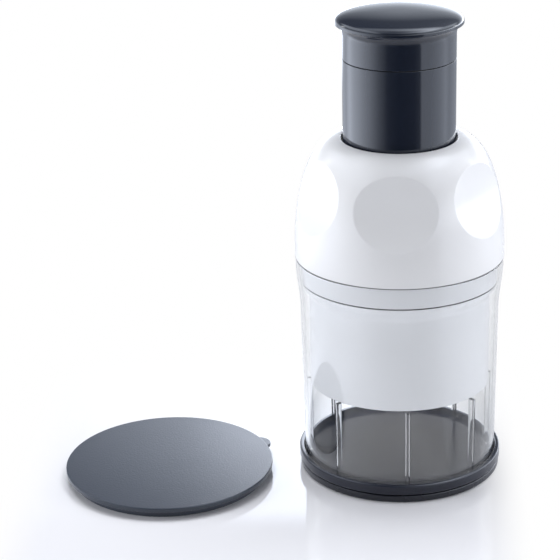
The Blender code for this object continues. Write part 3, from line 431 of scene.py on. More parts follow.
seat_gap = 0.3  # between faces that rest on each other
cup_low, cup_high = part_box("clear_container")
sleeve_low, sleeve_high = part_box("inner_sleeve")
cup_foot, cup_rim = cup_low.z / MM, cup_high.z / MM
cup_wall = 1.8
cup_taper, cup_flare = 1.1, 2.0
flare_start, flare_end = cup_rim - 26.0, cup_rim - 4.0
rim_out = cup_high.x / MM
foot_radius = rim_out - (cup_taper + cup_flare)
sleeve_space = 1.4
sleeve_radius = foot_radius - cup_wall - sleeve_space
sleeve_bottom = sleeve_low.z / MM
rib_count = 8
rib_turn = math.radians(5.0)
rib_nose = 1.0
rib_shelf = 0.9


def cup_outside(z):
    """The cup's outer radius in mm: a slight taper, then a soft flare to the rim."""
    taper = cup_taper * min((z - cup_foot) / (flare_start - cup_foot), 1.0)
    return foot_radius + taper + cup_flare * ease((z - flare_start) / (flare_end - flare_start))


levels = [cup_foot + 2.0 * i for i in range(1, 39)] + [flare_start + i for i in range(26)]
levels = sorted(set(round(z, 3) for z in levels if cup_foot + 0.8 < z < cup_rim - 0.8))
clear = clear_plastic()
cup_wall_piece = turned_piece(
    "cup_wall",
    [
        (rim_out - cup_wall, cup_rim, 0.5),
        (rim_out, cup_rim, 0.5),
        *[(cup_outside(z), z) for z in reversed(levels)],
        (foot_radius, cup_foot, 0.4),
        (foot_radius - cup_wall, cup_foot, 0.4),
        *[(cup_outside(z) - cup_wall, z) for z in levels],
    ],
    clear,
)
rib_root = foot_radius - cup_wall / 2
nose_at = sleeve_radius - rib_shelf + rib_nose
rib_outline = [(-rib_nose, -rib_root), (rib_nose, -rib_root)]
for i in range(13):
    angle = math.pi * i / 12
    rib_outline.append((rib_nose * math.cos(angle), -nose_at + rib_nose * math.sin(angle)))
points, faces = prism(rib_outline, cup_foot + 0.2, sleeve_bottom - seat_gap)
cup = mesh_piece("clear_cup", points, faces, clear)
run_tree(
    cup,
    ribs_tree(),
    {"Wall": cup_wall_piece, "Count": rib_count, "Turn": rib_turn, "Material": clear},
)
shade(cup.data)
bpy.data.objects.remove(cup_wall_piece)
fit_in(cup, "cup", "clear_plastic", "clear_container")


# White sleeve. A thin white tube that hangs from the housing inside the cup, round the space in
# which the blade works; it widens at a shoulder to meet the housing's skirt, and a lip at its
# foot holds the wiper.

def parts_of(add, place):
    """The X, Y and Z of a place."""
    return list(add("ShaderNodeSeparateXYZ", {0: place}).outputs)


def soft_step(add, value, start, end, low=0.0, high=1.0):
    """Rises softly from low to high as the value goes from start to end."""
    made = add(
        "ShaderNodeMapRange",
        {"Value": value, "From Min": start, "From Max": end, "To Min": low, "To Max": high},
        interpolation_type="SMOOTHSTEP",
    )
    return made.outputs[0]


def seam_shade():
    """A group for a painted shade line: it darkens a colour in a thin band at one height, where the
    shadow in a seam falls.
    """
    group = node_group(
        "seam_shade",
        "ShaderNodeTree",
        [
            ("Colour", "Color", (0.8, 0.8, 0.8, 1.0)),
            ("Height", "Float", 0.1),
            ("Half Width", "Float", 0.0005),
            ("Darkness", "Float", 0.7),
        ],
        [("Colour", "Color")],
    )
    add, _, calc = wire(group)
    given = add("NodeGroupInput").outputs
    z = parts_of(add, add("ShaderNodeTexCoord").outputs["Object"])[2]
    off = calc("ABSOLUTE", calc("SUBTRACT", z, given["Height"]))
    darkest = calc("SUBTRACT", 1.0, given["Darkness"])
    level = soft_step(add, calc("DIVIDE", off, given["Half Width"]), 0.6, 1.0, darkest)
    add("NodeGroupOutput", {"Colour": toned(add, given["Colour"], level)})
    return group


PAINTED_SEAM_SHADE = seam_shade()


def paint_seam_shade(material, *seams):
    """Paints shade into the material's colour: darker bands at seams given as (height, half width,
    darkness) in mm.
    """
    add, feed, _ = wire(material.node_tree)
    shader = material.node_tree.nodes["Principled BSDF"]
    for height, half_width, darkness in seams:
        entries = {
            "Colour": shader.inputs["Base Color"].links[0].from_socket,
            "Height": height * MM,
            "Half Width": half_width * MM,
            "Darkness": darkness,
        }
        seam = add("ShaderNodeGroup", node_tree=PAINTED_SEAM_SHADE)
        feed(seam, entries)
        feed(shader, {"Base Color": seam.outputs["Colour"]})


sleeve_white = plastic("white_sleeve_plastic", (0.80, 0.81, 0.84), 0.24, 0.015, 0.05, 2200.0, 0.003)
dome_low, dome_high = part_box("dome_housing")
wiper_low, wiper_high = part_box("wiper_disc")
sleeve_top = sleeve_high.z / MM
sleeve_wide = sleeve_high.x / MM
sleeve_bore = sleeve_radius - 2.0
skirt_bottom = dome_low.z / MM
skirt_seat = skirt_bottom - seat_gap
shoulder_height = 8.5
spigot_radius = sleeve_wide - 2.4
spigot_bore = spigot_radius - 2.0
lip_bore = sleeve_bore - 2.5
lip_thickness = 1.0
bead = 0.7
bead_height = wiper_high.z / MM + 1.0
# Painted shade: a thin darker band in the sleeve's colour just under the housing's skirt, where the
# seam's shadow falls.
paint_seam_shade(sleeve_white, (skirt_seat + 0.05, 0.14, 0.8))


def shoulder_line(low, high):
    """The shoulder's line, from one radius at its foot to another at the skirt."""
    shares = [i / 12 for i in range(13)]
    foot = skirt_seat - shoulder_height
    return [(low + (high - low) * ease(s), foot + shoulder_height * s) for s in shares]


sleeve = turned_piece(
    "white_sleeve",
    [
        (spigot_radius, sleeve_top, 0.3),
        (spigot_radius, skirt_seat),
        *reversed(shoulder_line(sleeve_radius, sleeve_wide)),
        (sleeve_radius, sleeve_bottom, 0.4),
        (lip_bore, sleeve_bottom, 0.3),
        (lip_bore, sleeve_bottom + lip_thickness, 0.3),
        (sleeve_bore, sleeve_bottom + lip_thickness),
        (sleeve_bore, bead_height - bead),
        (sleeve_bore - bead, bead_height, 0.3),
        (sleeve_bore, bead_height + bead),
        *shoulder_line(sleeve_bore, spigot_bore),
        (spigot_bore, sleeve_top, 0.3),
    ],
    sleeve_white,
)
fit_in(sleeve, "housing", "white_sleeve_plastic", "inner_sleeve")


# Folded blade. One strip of stainless steel folded to and fro so that it cuts across the whole
# cup, ground to an edge below and held by its top in the blade holder.

def steel(name, colour, roughness, stretch):
    """Brushed metal with fine marks that run round it or along it."""
    material, nodes, add, feed, _ = new_material(name)
    where = add("ShaderNodeTexCoord").outputs["Object"]
    place = add("ShaderNodeMapping", {"Vector": where, "Scale": stretch}).outputs[0]
    noise = add("ShaderNodeTexNoise", {"Vector": place, "Scale": 900.0, "Detail": 3.0})
    marks = noise.outputs["Fac"]
    gloss = add(
        "ShaderNodeMapRange",
        {"Value": marks, "To Min": roughness - 0.06, "To Max": roughness + 0.10},
    )
    dull = (*[c * 0.86 for c in colour], 1.0)
    tones = {"Factor": marks, "A": dull, "B": (*colour, 1.0)}
    tone = add("ShaderNodeMix", tones, data_type="RGBA")
    feed(
        nodes["Principled BSDF"],
        {"Metallic": 1.0, "Roughness": gloss.outputs[0], "Base Color": tone.outputs["Result"]},
    )
    return material


def swept(add, path, section):
    """A section swept along a path, closed at its ends."""
    entries = {"Curve": path, "Profile Curve": section, "Fill Caps": True}
    return add("GeometryNodeCurveToMesh", entries).outputs[0]


def blade_tree():
    """Sweeps the blade's upright section along its folded line."""
    given, add, feed, calc, end = geometry_tree(
        "folded_blade",
        [
            ("Thickness", "Float", 0.0008),
            ("Height", "Float", 0.04),
            ("Grind", "Float", 0.0025),
            ("Edge", "Float", 0.0001),
        ],
    )

    def corner(width, side, up=None):
        """A corner half this width to one side, and this far up from the cutting edge."""
        entries = {"X": calc("MULTIPLY", given[width], 0.5 * side)}
        if up:
            entries["Y"] = calc("MULTIPLY", given[up], -1.0)
        return add("ShaderNodeCombineXYZ", entries).outputs[0]

    corners = [
        corner("Edge", -1),
        corner("Thickness", -1, "Grind"),
        corner("Thickness", -1, "Height"),
        corner("Thickness", 1, "Height"),
        corner("Thickness", 1, "Grind"),
        corner("Edge", 1),
    ]
    choice = add("GeometryNodeIndexSwitch", data_type="VECTOR")
    while len(choice.index_switch_items) < len(corners):
        choice.index_switch_items.new()
    index = add("GeometryNodeInputIndex").outputs[0]
    feed(choice, dict(enumerate([index, *corners])))
    ring = add("GeometryNodeMeshCircle", {"Vertices": len(corners)}).outputs["Mesh"]
    shaped = add("GeometryNodeSetPosition", {"Geometry": ring, "Position": choice.outputs[0]})
    section = add("GeometryNodeMeshToCurve", {"Mesh": shaped.outputs[0]}).outputs[0]
    path = add("GeometryNodeMeshToCurve", {"Mesh": given["Geometry"]}).outputs[0]
    upright = add("GeometryNodeSetCurveNormal", {"Curve": path}, mode="Z_UP").outputs[0]
    return end(swept(add, upright, section))


blade_low, blade_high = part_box("chopping_blade")
blade_thickness = 0.8
blade_reach = lip_bore - 1.5
blade_grind = 2.5
blade_edge = 0.12
fold_radius = 2.2
fold_count = 7
arc_steps = 16


def folded_line():
    """The strip's middle line in mm, bent round pins that stand on both sides in turn."""
    half = blade_reach * 0.9
    pins = []
    for i in range(fold_count):
        x = -half + 2 * half * i / (fold_count - 1)
        side = 1 if i % 2 else -1
        radius = fold_radius if 0 < i < fold_count - 1 else 0.0
        reach = blade_reach - radius - blade_thickness / 2
        pins.append((Vector((x, side * math.sqrt(reach**2 - x**2))), side * radius))
    headings = []
    for (start, bend), (end, next_bend) in zip(pins, pins[1:]):
        span = end - start
        headings.append(math.atan2(span.y, span.x) - math.asin((bend - next_bend) / span.length))
    line = [pins[0][0]]
    for (pin, bend), before, after in zip(pins[1:-1], headings, headings[1:]):
        for i in range(arc_steps + 1):
            heading = before + (after - before) * i / arc_steps
            line.append(pin + Vector((-math.sin(heading), math.cos(heading))) * bend)
    line.append(pins[-1][0])
    return line


blade_steel = steel("stainless_blade", (0.72, 0.73, 0.74), 0.22, (1.0, 1.0, 0.06))
blade_line = folded_line()
line_mesh = bpy.data.meshes.new("folded_strip")
line_mesh.from_pydata(
    [(x * MM, y * MM, blade_low.z) for x, y in blade_line],
    [(i, i + 1) for i in range(len(blade_line) - 1)],
    [],
)
blade = placed("folded_blade", line_mesh)
run_tree(
    blade,
    blade_tree(),
    {
        "Thickness": blade_thickness * MM,
        "Height": blade_high.z - blade_low.z,
        "Grind": blade_grind * MM,
        "Edge": blade_edge * MM,
        "Material": blade_steel,
    },
)
shade(blade.data, 24)
fit_in(blade, "rotor", "blade_steel", "chopping_blade")


# Wiper disc. A white disc that snaps into the sleeve above its lip; the blade passes through a
# slot of its own folded shape, which wipes it clean on the way up.

def worked_with(piece, tool, operation):
    """Cuts a tool out of the piece or joins it on, and takes the tool away."""
    modifier = piece.modifiers.new("tool", "BOOLEAN")
    modifier.object = tool
    modifier.operation = operation
    modifier.solver = "EXACT"
    shade(settled(piece, modifier))
    bpy.data.objects.remove(tool)


def strip_outline(line, half_width, end_gap):
    """The anticlockwise outline of a strip of this half width along the line, in mm."""
    line = [Vector(point) for point in line]
    line[0] += (line[0] - line[1]).normalized() * end_gap
    line[-1] += (line[-1] - line[-2]).normalized() * end_gap
    left, right = [], []
    for i, point in enumerate(line):
        along = (line[min(i + 1, len(line) - 1)] - line[max(i - 1, 0)]).normalized()
        aside = Vector((-along.y, along.x)) * half_width
        left.append(point + aside)
        right.append(point - aside)
    return right + left[::-1]


wiper_radius = wiper_high.x / MM
wiper_bottom, wiper_top = wiper_low.z / MM, wiper_high.z / MM
wiper_edge = 0.8
slot_clearance = 0.5
wiper = turned_piece(
    "wiper",
    [
        (0, wiper_top),
        (wiper_radius, wiper_top, wiper_edge),
        (wiper_radius, wiper_bottom, wiper_edge),
        (0, wiper_bottom),
    ],
    sleeve_white,
)
slot_outline = strip_outline(blade_line, blade_thickness / 2 + slot_clearance, slot_clearance)
points, faces = prism(slot_outline, wiper_bottom - 1, wiper_top + 1)
worked_with(wiper, mesh_piece("wiper_slot", points, faces, sleeve_white), "DIFFERENCE")
fit_in(wiper, "wiper", "white_sleeve_plastic", "wiper_disc")


# Domed housing. A glossy white moulding, a dome of superellipse section with six shallow grip
# hollows milled flat across and hollow upright, and below it a skirt that drops into the cup.

gloss_white = plastic("gloss_white_plastic", (0.80, 0.81, 0.84), 0.19, 0.012, 0.05, ior=1.44)
dome_rim = dome_high.x / MM
dome_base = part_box("drive_plate")[1].z / MM + 4.0
dome_top = dome_high.z / MM
hole_radius = 27.8
hole_edge = 0.8
dome_wall = 2.2
roof = dome_top - dome_wall
side_power, top_power = 2.354, 2.184
grip_count = 6
grip_turn = -2.0
grip_half_angle = 24.6
grip_height = 34.0
grip_middle = dome_base + 34.5
grip_softness = 0.30
# Painted shade: thin darker bands in the dome's colour at its foot over the cup's rim and at the
# skirt's lower edge, where the seams' shadows fall.
paint_seam_shade(gloss_white, (dome_base + 0.15, 0.42, 0.8), (skirt_bottom + 0.05, 0.32, 0.85))


def dome_point(angle, wall=0.0):
    """(r, z) in mm on the dome's section, this far inside its surface."""
    side = max(math.cos(angle), 0.0) ** (2 / side_power)
    rise = max(math.sin(angle), 0.0) ** (2 / top_power)
    return (
        hole_radius + (dome_rim - wall - hole_radius) * side,
        dome_base + (dome_top - wall - dome_base) * rise,
    )


def angle_at_height(z, wall=0.0):
    """The section's own angle at a height."""
    share = (z - dome_base) / (dome_top - wall - dome_base)
    return math.asin(min(max(share, 0.0), 1.0) ** (top_power / 2))


def angle_at_radius(r, wall=0.0):
    """The section's own angle at a radius."""
    return math.acos(((r - hole_radius) / (dome_rim - wall - hole_radius)) ** (side_power / 2))


def grip_circle():
    """Centre (r, z) and radius, in mm, of the upright circle that a grip hollow follows."""
    bottom, top = grip_middle - grip_height / 2, grip_middle + grip_height / 2
    first = Vector((dome_point(angle_at_height(bottom))[0], bottom))
    across = dome_point(angle_at_height(grip_middle))[0]
    flat = across * math.cos(math.radians(grip_half_angle))
    a = Vector((flat, grip_middle)) - first
    b = Vector((dome_point(angle_at_height(top))[0], top)) - first
    twice_area = 2 * (a.x * b.y - a.y * b.x)
    x = (b.y * a.length_squared - a.y * b.length_squared) / twice_area
    y = (a.x * b.length_squared - b.x * a.length_squared) / twice_area
    return first + Vector((x, y)), math.hypot(x, y)


def dome_tree():
    """Lifts a flat net of (turn, section angle) on to the dome, sinks the grip hollow into it with
    a softened edge, and repeats it round the axis."""
    given, add, _, calc, end = geometry_tree(
        "gripped_dome",
        [
            ("Rim Radius", "Float", 0.05),
            ("Hole Radius", "Float", 0.03),
            ("Base Height", "Float", 0.1),
            ("Rise", "Float", 0.06),
            ("Side Power", "Float", 2.35),
            ("Top Power", "Float", 2.18),
            ("Grip Reach", "Float", 0.11),
            ("Grip Level", "Float", 0.16),
            ("Grip Radius", "Float", 0.07),
            ("Edge Softness", "Float", 0.0004),
            ("Grips", "Int", 6),
            ("Turn", "Float", 0.0),
        ],
    )
    turn, angle, _ = parts_of(add, add("GeometryNodeInputPosition").outputs[0])

    def bulge(way, power):
        """The superellipse's share of its reach, sideways or up."""
        part = calc("MAXIMUM", calc(way, angle), 0.0)
        return calc("POWER", part, calc("DIVIDE", 2.0, given[power]))

    spread = calc("SUBTRACT", given["Rim Radius"], given["Hole Radius"])
    dome = calc("MULTIPLY_ADD", spread, bulge("COSINE", "Side Power"), given["Hole Radius"])
    height = calc("MULTIPLY_ADD", given["Rise"], bulge("SINE", "Top Power"), given["Base Height"])
    above = calc("ABSOLUTE", calc("SUBTRACT", height, given["Grip Level"]))
    bend = calc("SUBTRACT", calc("POWER", given["Grip Radius"], 2.0), calc("POWER", above, 2.0))
    flat = calc("SUBTRACT", given["Grip Reach"], calc("SQRT", calc("MAXIMUM", bend, 0.0)))
    hollow = calc("DIVIDE", flat, calc("COSINE", turn))
    radius = calc("SMOOTH_MIN", dome, hollow, given["Edge Softness"])
    place = add(
        "ShaderNodeCombineXYZ",
        {
            "X": calc("MULTIPLY", radius, calc("SINE", turn)),
            "Y": calc("MULTIPLY", calc("MULTIPLY", radius, -1.0), calc("COSINE", turn)),
            "Z": height,
        },
    ).outputs[0]
    shaped = add("GeometryNodeSetPosition", {"Geometry": given["Geometry"], "Position": place})
    return end(copies_round(add, calc, shaped.outputs[0], given["Grips"], given["Turn"]))


grip_at, grip_bend = grip_circle()
gripped = dome_tree()
half_patch = math.pi / grip_count
patch_columns, patch_rows = 22, 30
patch_turns = [-half_patch + 2 * half_patch * i / patch_columns for i in range(patch_columns)]
turn_reach, angle_reach = 46.0, 52.0  # mm along the dome for a radian of turn and of section angle


def dome_net(low, high, wall, inner, edge_steps, outer):
    """Points and faces of a sixth of the dome as a flat net, turn against section angle, whose
    rings follow the grip's edge so that it comes out crisp."""
    rise = high - low
    border = [(turn, low) for turn in patch_turns]
    border += [(half_patch, low + rise * i / patch_rows) for i in range(patch_rows)]
    border += [(-turn, high) for turn in patch_turns]
    border += [(-half_patch, high - rise * i / patch_rows) for i in range(patch_rows)]
    centre = Vector((0.0, angle_at_height(grip_middle, wall)))

    def over(turn, angle):
        """How far the dome stands outside the grip's surface here."""
        r, z = dome_point(angle, wall)
        flat = grip_at.x - math.sqrt((grip_bend + wall) ** 2 - (z - grip_at.y) ** 2)
        return r - flat / math.cos(turn)

    points, faces, spokes = [centre], [], []
    for end in map(Vector, border):
        inside, outside = 0.0, 1.0
        for _ in range(40):
            half_way = (inside + outside) / 2
            if over(*centre.lerp(end, half_way)) > 0:
                inside = half_way
            else:
                outside = half_way
        span = end - centre
        length = math.hypot(span.x * turn_reach, span.y * angle_reach)
        near = [inside + step / length for step in edge_steps]
        shares = [near[0] * i / inner for i in range(1, inner)] + near
        shares += [near[-1] + (1 - near[-1]) * (i / outer) ** 1.3 for i in range(1, outer + 1)]
        spokes.append(range(len(points), len(points) + len(shares)))
        points += [centre.lerp(end, share) for share in shares]
    for spoke, after in zip(spokes, spokes[1:] + spokes[:1]):
        faces.append((0, spoke[0], after[0]))
        for k in range(len(spoke) - 1):
            faces.append((spoke[k], spoke[k + 1], after[k + 1], after[k]))
    return [(*point, 0.0) for point in points], faces


def dome_skin(name, low, high, wall, inner, edge_steps, outer):
    """The dome's surface this far inside its outer one, open below and above."""
    points, faces = dome_net(low, high, wall, inner, edge_steps, outer)
    piece = mesh_piece(name, points, faces, gloss_white)
    skin = run_tree(
        piece,
        gripped,
        {
            "Rim Radius": (dome_rim - wall) * MM,
            "Hole Radius": hole_radius * MM,
            "Base Height": dome_base * MM,
            "Rise": (dome_top - wall - dome_base) * MM,
            "Side Power": side_power,
            "Top Power": top_power,
            "Grip Reach": grip_at.x * MM,
            "Grip Level": grip_at.y * MM,
            "Grip Radius": (grip_bend + wall) * MM,
            "Edge Softness": grip_softness * MM,
            "Grips": grip_count,
            "Turn": math.radians(grip_turn),
            "Material": gloss_white,
        },
    )
    bpy.data.objects.remove(piece)
    return skin


bush_low, bush_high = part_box("guide_bush")
bush_flange = 1.5
collar_radius = bush_high.x / MM
collar_bore = collar_radius - 2.0
collar_bottom = bush_low.z / MM + bush_flange + seat_gap
skirt_radius = sleeve_wide
skirt_bore = skirt_radius - 2.0
outer_high = angle_at_radius(hole_radius + hole_edge + 0.02)
inner_low = angle_at_height(dome_base + 2 * dome_wall, dome_wall)
inner_high = angle_at_radius(collar_radius, dome_wall)
fine_rings = (-1.0, -0.6, -0.36, -0.18, 0.0, 0.18, 0.36, 0.6, 1.0)
coarse_rings = (-0.6, 0.0, 0.6)
outer_skin = dome_skin("dome_outside", 0.0, outer_high, 0.0, 14, fine_rings, 14)
inner_skin = dome_skin("dome_inside", inner_low, inner_high, dome_wall, 5, coarse_rings, 6)
below = eased(
    [
        (dome_rim, dome_base),
        (skirt_radius, dome_base),
        (skirt_radius, skirt_bottom, 0.3),
        (skirt_bore, skirt_bottom, 0.2),
        (skirt_bore, dome_base + 2 * dome_wall),
        dome_point(inner_low, dome_wall),
    ]
)
above = eased(
    [
        dome_point(inner_high, dome_wall),
        (collar_radius, collar_bottom, 0.2),
        (collar_bore, collar_bottom, 0.2),
        (collar_bore, roof),
        (hole_radius, roof),
        (hole_radius, dome_top, hole_edge),
        dome_point(outer_high),
    ],
    steps=6,
)
ring_turns = [
    math.radians(grip_turn - 90.0) + turn + step
    for step in even_turns(grip_count)
    for turn in patch_turns
]
shell = bmesh.new()
shell.from_mesh(outer_skin)
shell.from_mesh(inner_skin)
for profile in (below, above):
    points, faces = turned(profile, ring_turns, closed=False)
    strip = bpy.data.meshes.new("dome_strip")
    strip.from_pydata(points, [], faces)
    shell.from_mesh(strip)
    bpy.data.meshes.remove(strip)
bmesh.ops.remove_doubles(shell, verts=shell.verts, dist=0.005 * MM)
bmesh.ops.recalc_face_normals(shell, faces=shell.faces)
dome_mesh = bpy.data.meshes.new("dome")
shell.to_mesh(dome_mesh)
shell.free()
dome_mesh.materials.append(gloss_white)
shade(dome_mesh, 40)
dome = placed("dome", dome_mesh)
fit_in(dome, "housing", "white_gloss_plastic", "dome_housing")


# Guide bush. A ring of uncoloured bearing plastic in the dome's collar, in which the plunger
# slides; only its top edge shows, down in the gap round the plunger.

natural = plastic("bearing_plastic", (0.60, 0.59, 0.55), 0.38, 0.06, 0.08, 2000.0, 0.006)
run_gap = 0.4  # round a piece that slides or turns
tube_radius = 26.85
bush_radius = collar_bore - seat_gap
bush_bore = tube_radius + run_gap
bush_top, bush_bottom = bush_high.z / MM, bush_low.z / MM
bush = turned_piece(
    "guide_ring",
    [
        (bush_radius, bush_top, 0.2),
        (bush_radius, bush_bottom + bush_flange),
        (collar_radius, bush_bottom + bush_flange, 0.2),
        (collar_radius, bush_bottom, 0.2),
        (bush_bore, bush_bottom, 0.3),
        (bush_bore, bush_top, 0.3),
    ],
    natural,
)
fit_in(bush, "housing", "natural_plastic", "guide_bush")


# Plunger tube. A glossy dark tube that slides in the dome's hole; a flange at its foot stops
# against the bush at the top of the stroke and against the bumper at the bottom.

gloss_dark = plastic("gloss_dark_plastic", (0.011, 0.015, 0.027), 0.09, 0.05, 0.05, ior=1.54)
tube_low, tube_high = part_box("plunger_tube")
tube_bottom, tube_top = tube_low.z / MM, tube_high.z / MM
tube_bore = tube_radius - 2.0
flange_radius = tube_high.x / MM
flange_top = tube_bottom + 3.0
tube = turned_piece(
    "plunger_barrel",
    [
        (tube_radius, tube_top, 0.2),
        (tube_radius, flange_top),
        (flange_radius, flange_top, 0.2),
        (flange_radius, tube_bottom, 0.3),
        (tube_bore, tube_bottom, 0.3),
        (tube_bore, tube_top, 0.2),
    ],
    gloss_dark,
)
fit_in(tube, "plunger", "dark_gloss_plastic", "plunger_tube")


# Knob cap. The glossy dark head that the palm presses: a low crown, a thin rounded rim that
# overhangs, a hollow flare under it and a short skirt that continues the tube.

cap_low, cap_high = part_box("knob_cap")
cap_radius = cap_high.x / MM
cap_bottom = tube_top + seat_gap
cap_top = cap_high.z / MM
cap_wall = 2.2
flare_height = 5.6
flare_power = 0.9
flare_bottom = cap_bottom + 11.0
cap_rim = flare_bottom + flare_height
crown_bottom = cap_rim + 0.7
crown_power = 2.7
overhang = cap_radius - tube_radius
spigot = tube_bore - seat_gap
spigot_bottom = cap_low.z / MM
crown = []
for i in range(33):
    angle = math.pi / 2 * (1 - i / 32)
    reach = math.cos(angle) ** (2 / crown_power) if i else 0.0
    rise = math.sin(angle) ** (2 / crown_power)
    crown.append((cap_radius * reach, crown_bottom + (cap_top - crown_bottom) * rise))
flare = []
for i in range(1, 17):
    angle = math.pi / 2 * i / 16
    drop = flare_height * (1 - math.cos(angle))
    flare.append((cap_radius - overhang * math.sin(angle) ** flare_power, cap_rim - drop))
knob = turned_piece(
    "knob",
    [
        *crown,
        (cap_radius, cap_rim),
        *flare,
        (tube_radius, flare_bottom - 1.0),
        (tube_radius, cap_bottom, 0.2),
        (spigot, cap_bottom),
        (spigot, spigot_bottom, 0.3),
        (spigot - cap_wall, spigot_bottom, 0.3),
        (spigot - cap_wall, flare_bottom),
        (cap_radius - 2 * cap_wall, cap_rim),
        (cap_radius - 3 * cap_wall, cap_top - cap_wall),
        (0, cap_top - cap_wall),
    ],
    gloss_dark,
)
fit_in(knob, "plunger", "dark_gloss_plastic", "knob_cap")


# Storage lid. A satin dark disc with a fine grain, a rounded rim, a plug ring under it that
# fits the cup's rim, and a small tab to lift it by. It lies beside the chopper.

dark_satin = plastic("satin_dark_plastic", (0.017, 0.023, 0.037), 0.29, 0.05, 0.06, 1150.0, 0.07)
lid_low, lid_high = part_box("storage_lid")
lid_radius = 51.4
lid_x = lid_low.x / MM + lid_radius
lid_y = (lid_low.y + lid_high.y) / 2 / MM
lid_crown = 0.4
lid_top = lid_high.z / MM - lid_crown
plug_depth = 3.8
plug_radius = rim_out - cup_wall - run_gap
plug_bore = plug_radius - 1.8
crown_shares = (0, 0.15, 0.3, 0.45, 0.6, 0.75, 0.88, 0.96)
lid = turned_piece(
    "lid",
    [
        *[(lid_radius * s, lid_top + lid_crown * (1 - s * s)) for s in crown_shares],
        (lid_radius, lid_top, 0.45),
        (lid_radius, plug_depth, 0.35),
        (plug_radius, plug_depth, 0.2),
        (plug_radius, 0, 0.3),
        (plug_bore, 0, 0.3),
        (plug_bore, plug_depth, 0.3),
        (0, plug_depth),
    ],
    dark_satin,
    centre=(lid_x, lid_y),
)
tab_turn = math.radians(27.0)
tab_radius = 6.5
tab_edge = 0.45
tab_bottom, tab_top = 4.1, 5.8
tab_out = lid_radius + 3.1 - tab_radius
tab = turned_piece(
    "lid_tab",
    [
        (0, tab_top),
        (tab_radius, tab_top, tab_edge),
        (tab_radius, tab_bottom, tab_edge),
        (0, tab_bottom),
    ],
    dark_satin,
    angles=even_turns(64),
    centre=(lid_x + tab_out * math.cos(tab_turn), lid_y + tab_out * math.sin(tab_turn)),
)
worked_with(lid, tab, "UNION")
fit_in(lid, "lid", "dark_satin_plastic", "storage_lid")


# Works inside. The drive plate, nut, twisted shaft, bearing, spring seat and screws keep their
# solids, and get the finishes they are made in: white and uncoloured plastic, steel and rubber.

plated_steel = steel("plated_steel", (0.62, 0.63, 0.65), 0.28, (1.0, 1.0, 0.25))
works = {
    "drive_plate": sleeve_white,
    "blade_holder": sleeve_white,
    "helix_nut": natural,
    "bearing_carrier": natural,
    "thrust_washer": natural,
    "bumper_ring": dark_rubber,
    "spring_seat": plated_steel,
    "housing_screw_1": plated_steel,
    "housing_screw_2": plated_steel,
    "housing_screw_3": plated_steel,
    "helix_shaft": plated_steel,
    "blade_screw": plated_steel,
    "retaining_clip": plated_steel,
}
for node, material in works.items():
    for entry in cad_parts[node].material_slots:
        entry.material = material


# Return spring. Round steel wire coiled round the shaft, its end turns wound close; it stands on
# a washer and pushes the plunger up. It moves with the housing and keeps one length.

def spring_tree():
    """Winds a round wire on a helix whose first and last turns are closer together."""
    given, add, _, calc, end = geometry_tree(
        "wound_spring",
        [
            ("Turns", "Int", 8),
            ("Points Per Turn", "Int", 32),
            ("Radius", "Float", 0.02),
            ("Bottom", "Float", 0.1),
            ("Rise", "Float", 0.09),
            ("End Pitch", "Float", 0.0027),
            ("Wire", "Float", 0.002),
        ],
    )
    turns, per_turn = given["Turns"], given["Points Per Turn"]
    count = calc("MULTIPLY_ADD", turns, per_turn, 1)
    line = add("GeometryNodeMeshLine", {"Offset": (0, 0, MM), "Count": count}).outputs["Mesh"]
    wound = calc("DIVIDE", add("GeometryNodeInputIndex").outputs[0], per_turn)
    last = calc("MAXIMUM", calc("ADD", calc("SUBTRACT", wound, turns), 1), 0)
    close = calc("ADD", calc("MINIMUM", wound, 1), last)
    open_turns = calc("SUBTRACT", turns, 2)
    opened = calc("MINIMUM", calc("MAXIMUM", calc("SUBTRACT", wound, 1), 0), open_turns)
    open_rise = calc("MULTIPLY_ADD", given["End Pitch"], -2, given["Rise"])
    climb = calc("MULTIPLY", opened, calc("DIVIDE", open_rise, open_turns))
    climb = calc("MULTIPLY_ADD", close, given["End Pitch"], climb)
    angle = calc("MULTIPLY", wound, 2 * math.pi)
    place = add(
        "ShaderNodeCombineXYZ",
        {
            "X": calc("MULTIPLY", calc("COSINE", angle), given["Radius"]),
            "Y": calc("MULTIPLY", calc("SINE", angle), given["Radius"]),
            "Z": calc("ADD", climb, given["Bottom"]),
        },
    ).outputs[0]
    helix = add("GeometryNodeSetPosition", {"Geometry": line, "Position": place}).outputs[0]
    path = add("GeometryNodeMeshToCurve", {"Mesh": helix}).outputs[0]
    section = add(
        "GeometryNodeCurvePrimitiveCircle",
        {"Resolution": 12, "Radius": calc("MULTIPLY", given["Wire"], 0.5)},
    )
    return end(swept(add, path, section.outputs["Curve"]))


spring_low, spring_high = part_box("return_spring")
spring_length = spring_high.z - spring_low.z
spring_wire = 2.0 * MM
spring = mesh_piece("return_spring_wire", [], [], plated_steel)
run_tree(
    spring,
    spring_tree(),
    {
        "Turns": 8,
        "Points Per Turn": 32,
        "Radius": spring_high.x - spring_wire / 2,
        "Bottom": spring_low.z + spring_wire / 2,
        "Rise": spring_length - spring_wire,
        "End Pitch": 2.7 * MM,
        "Wire": spring_wire,
        "Material": plated_steel,
    },
)
shade(spring.data)
fit_in(spring, "housing", "spring_steel", "return_spring")
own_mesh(spring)


# Studio floor. A pale glossy sheet under the object that fades to white away from it. In upright
# glossy walls it also mirrors as a table whose brightness changes from side to side.

def levels_along(add, value, stops, interpolation="LINEAR"):
    """A value read off these (position, level) stops."""
    ramp = add("ShaderNodeValToRGB", {0: value})
    ramp.color_ramp.interpolation = interpolation
    elements = ramp.color_ramp.elements
    while len(elements) < len(stops):
        elements.new(0.5)
    for element, (position, level) in zip(elements, stops):
        element.position = position
        element.color = (level, level, level, 1.0)
    return ramp.outputs[0]


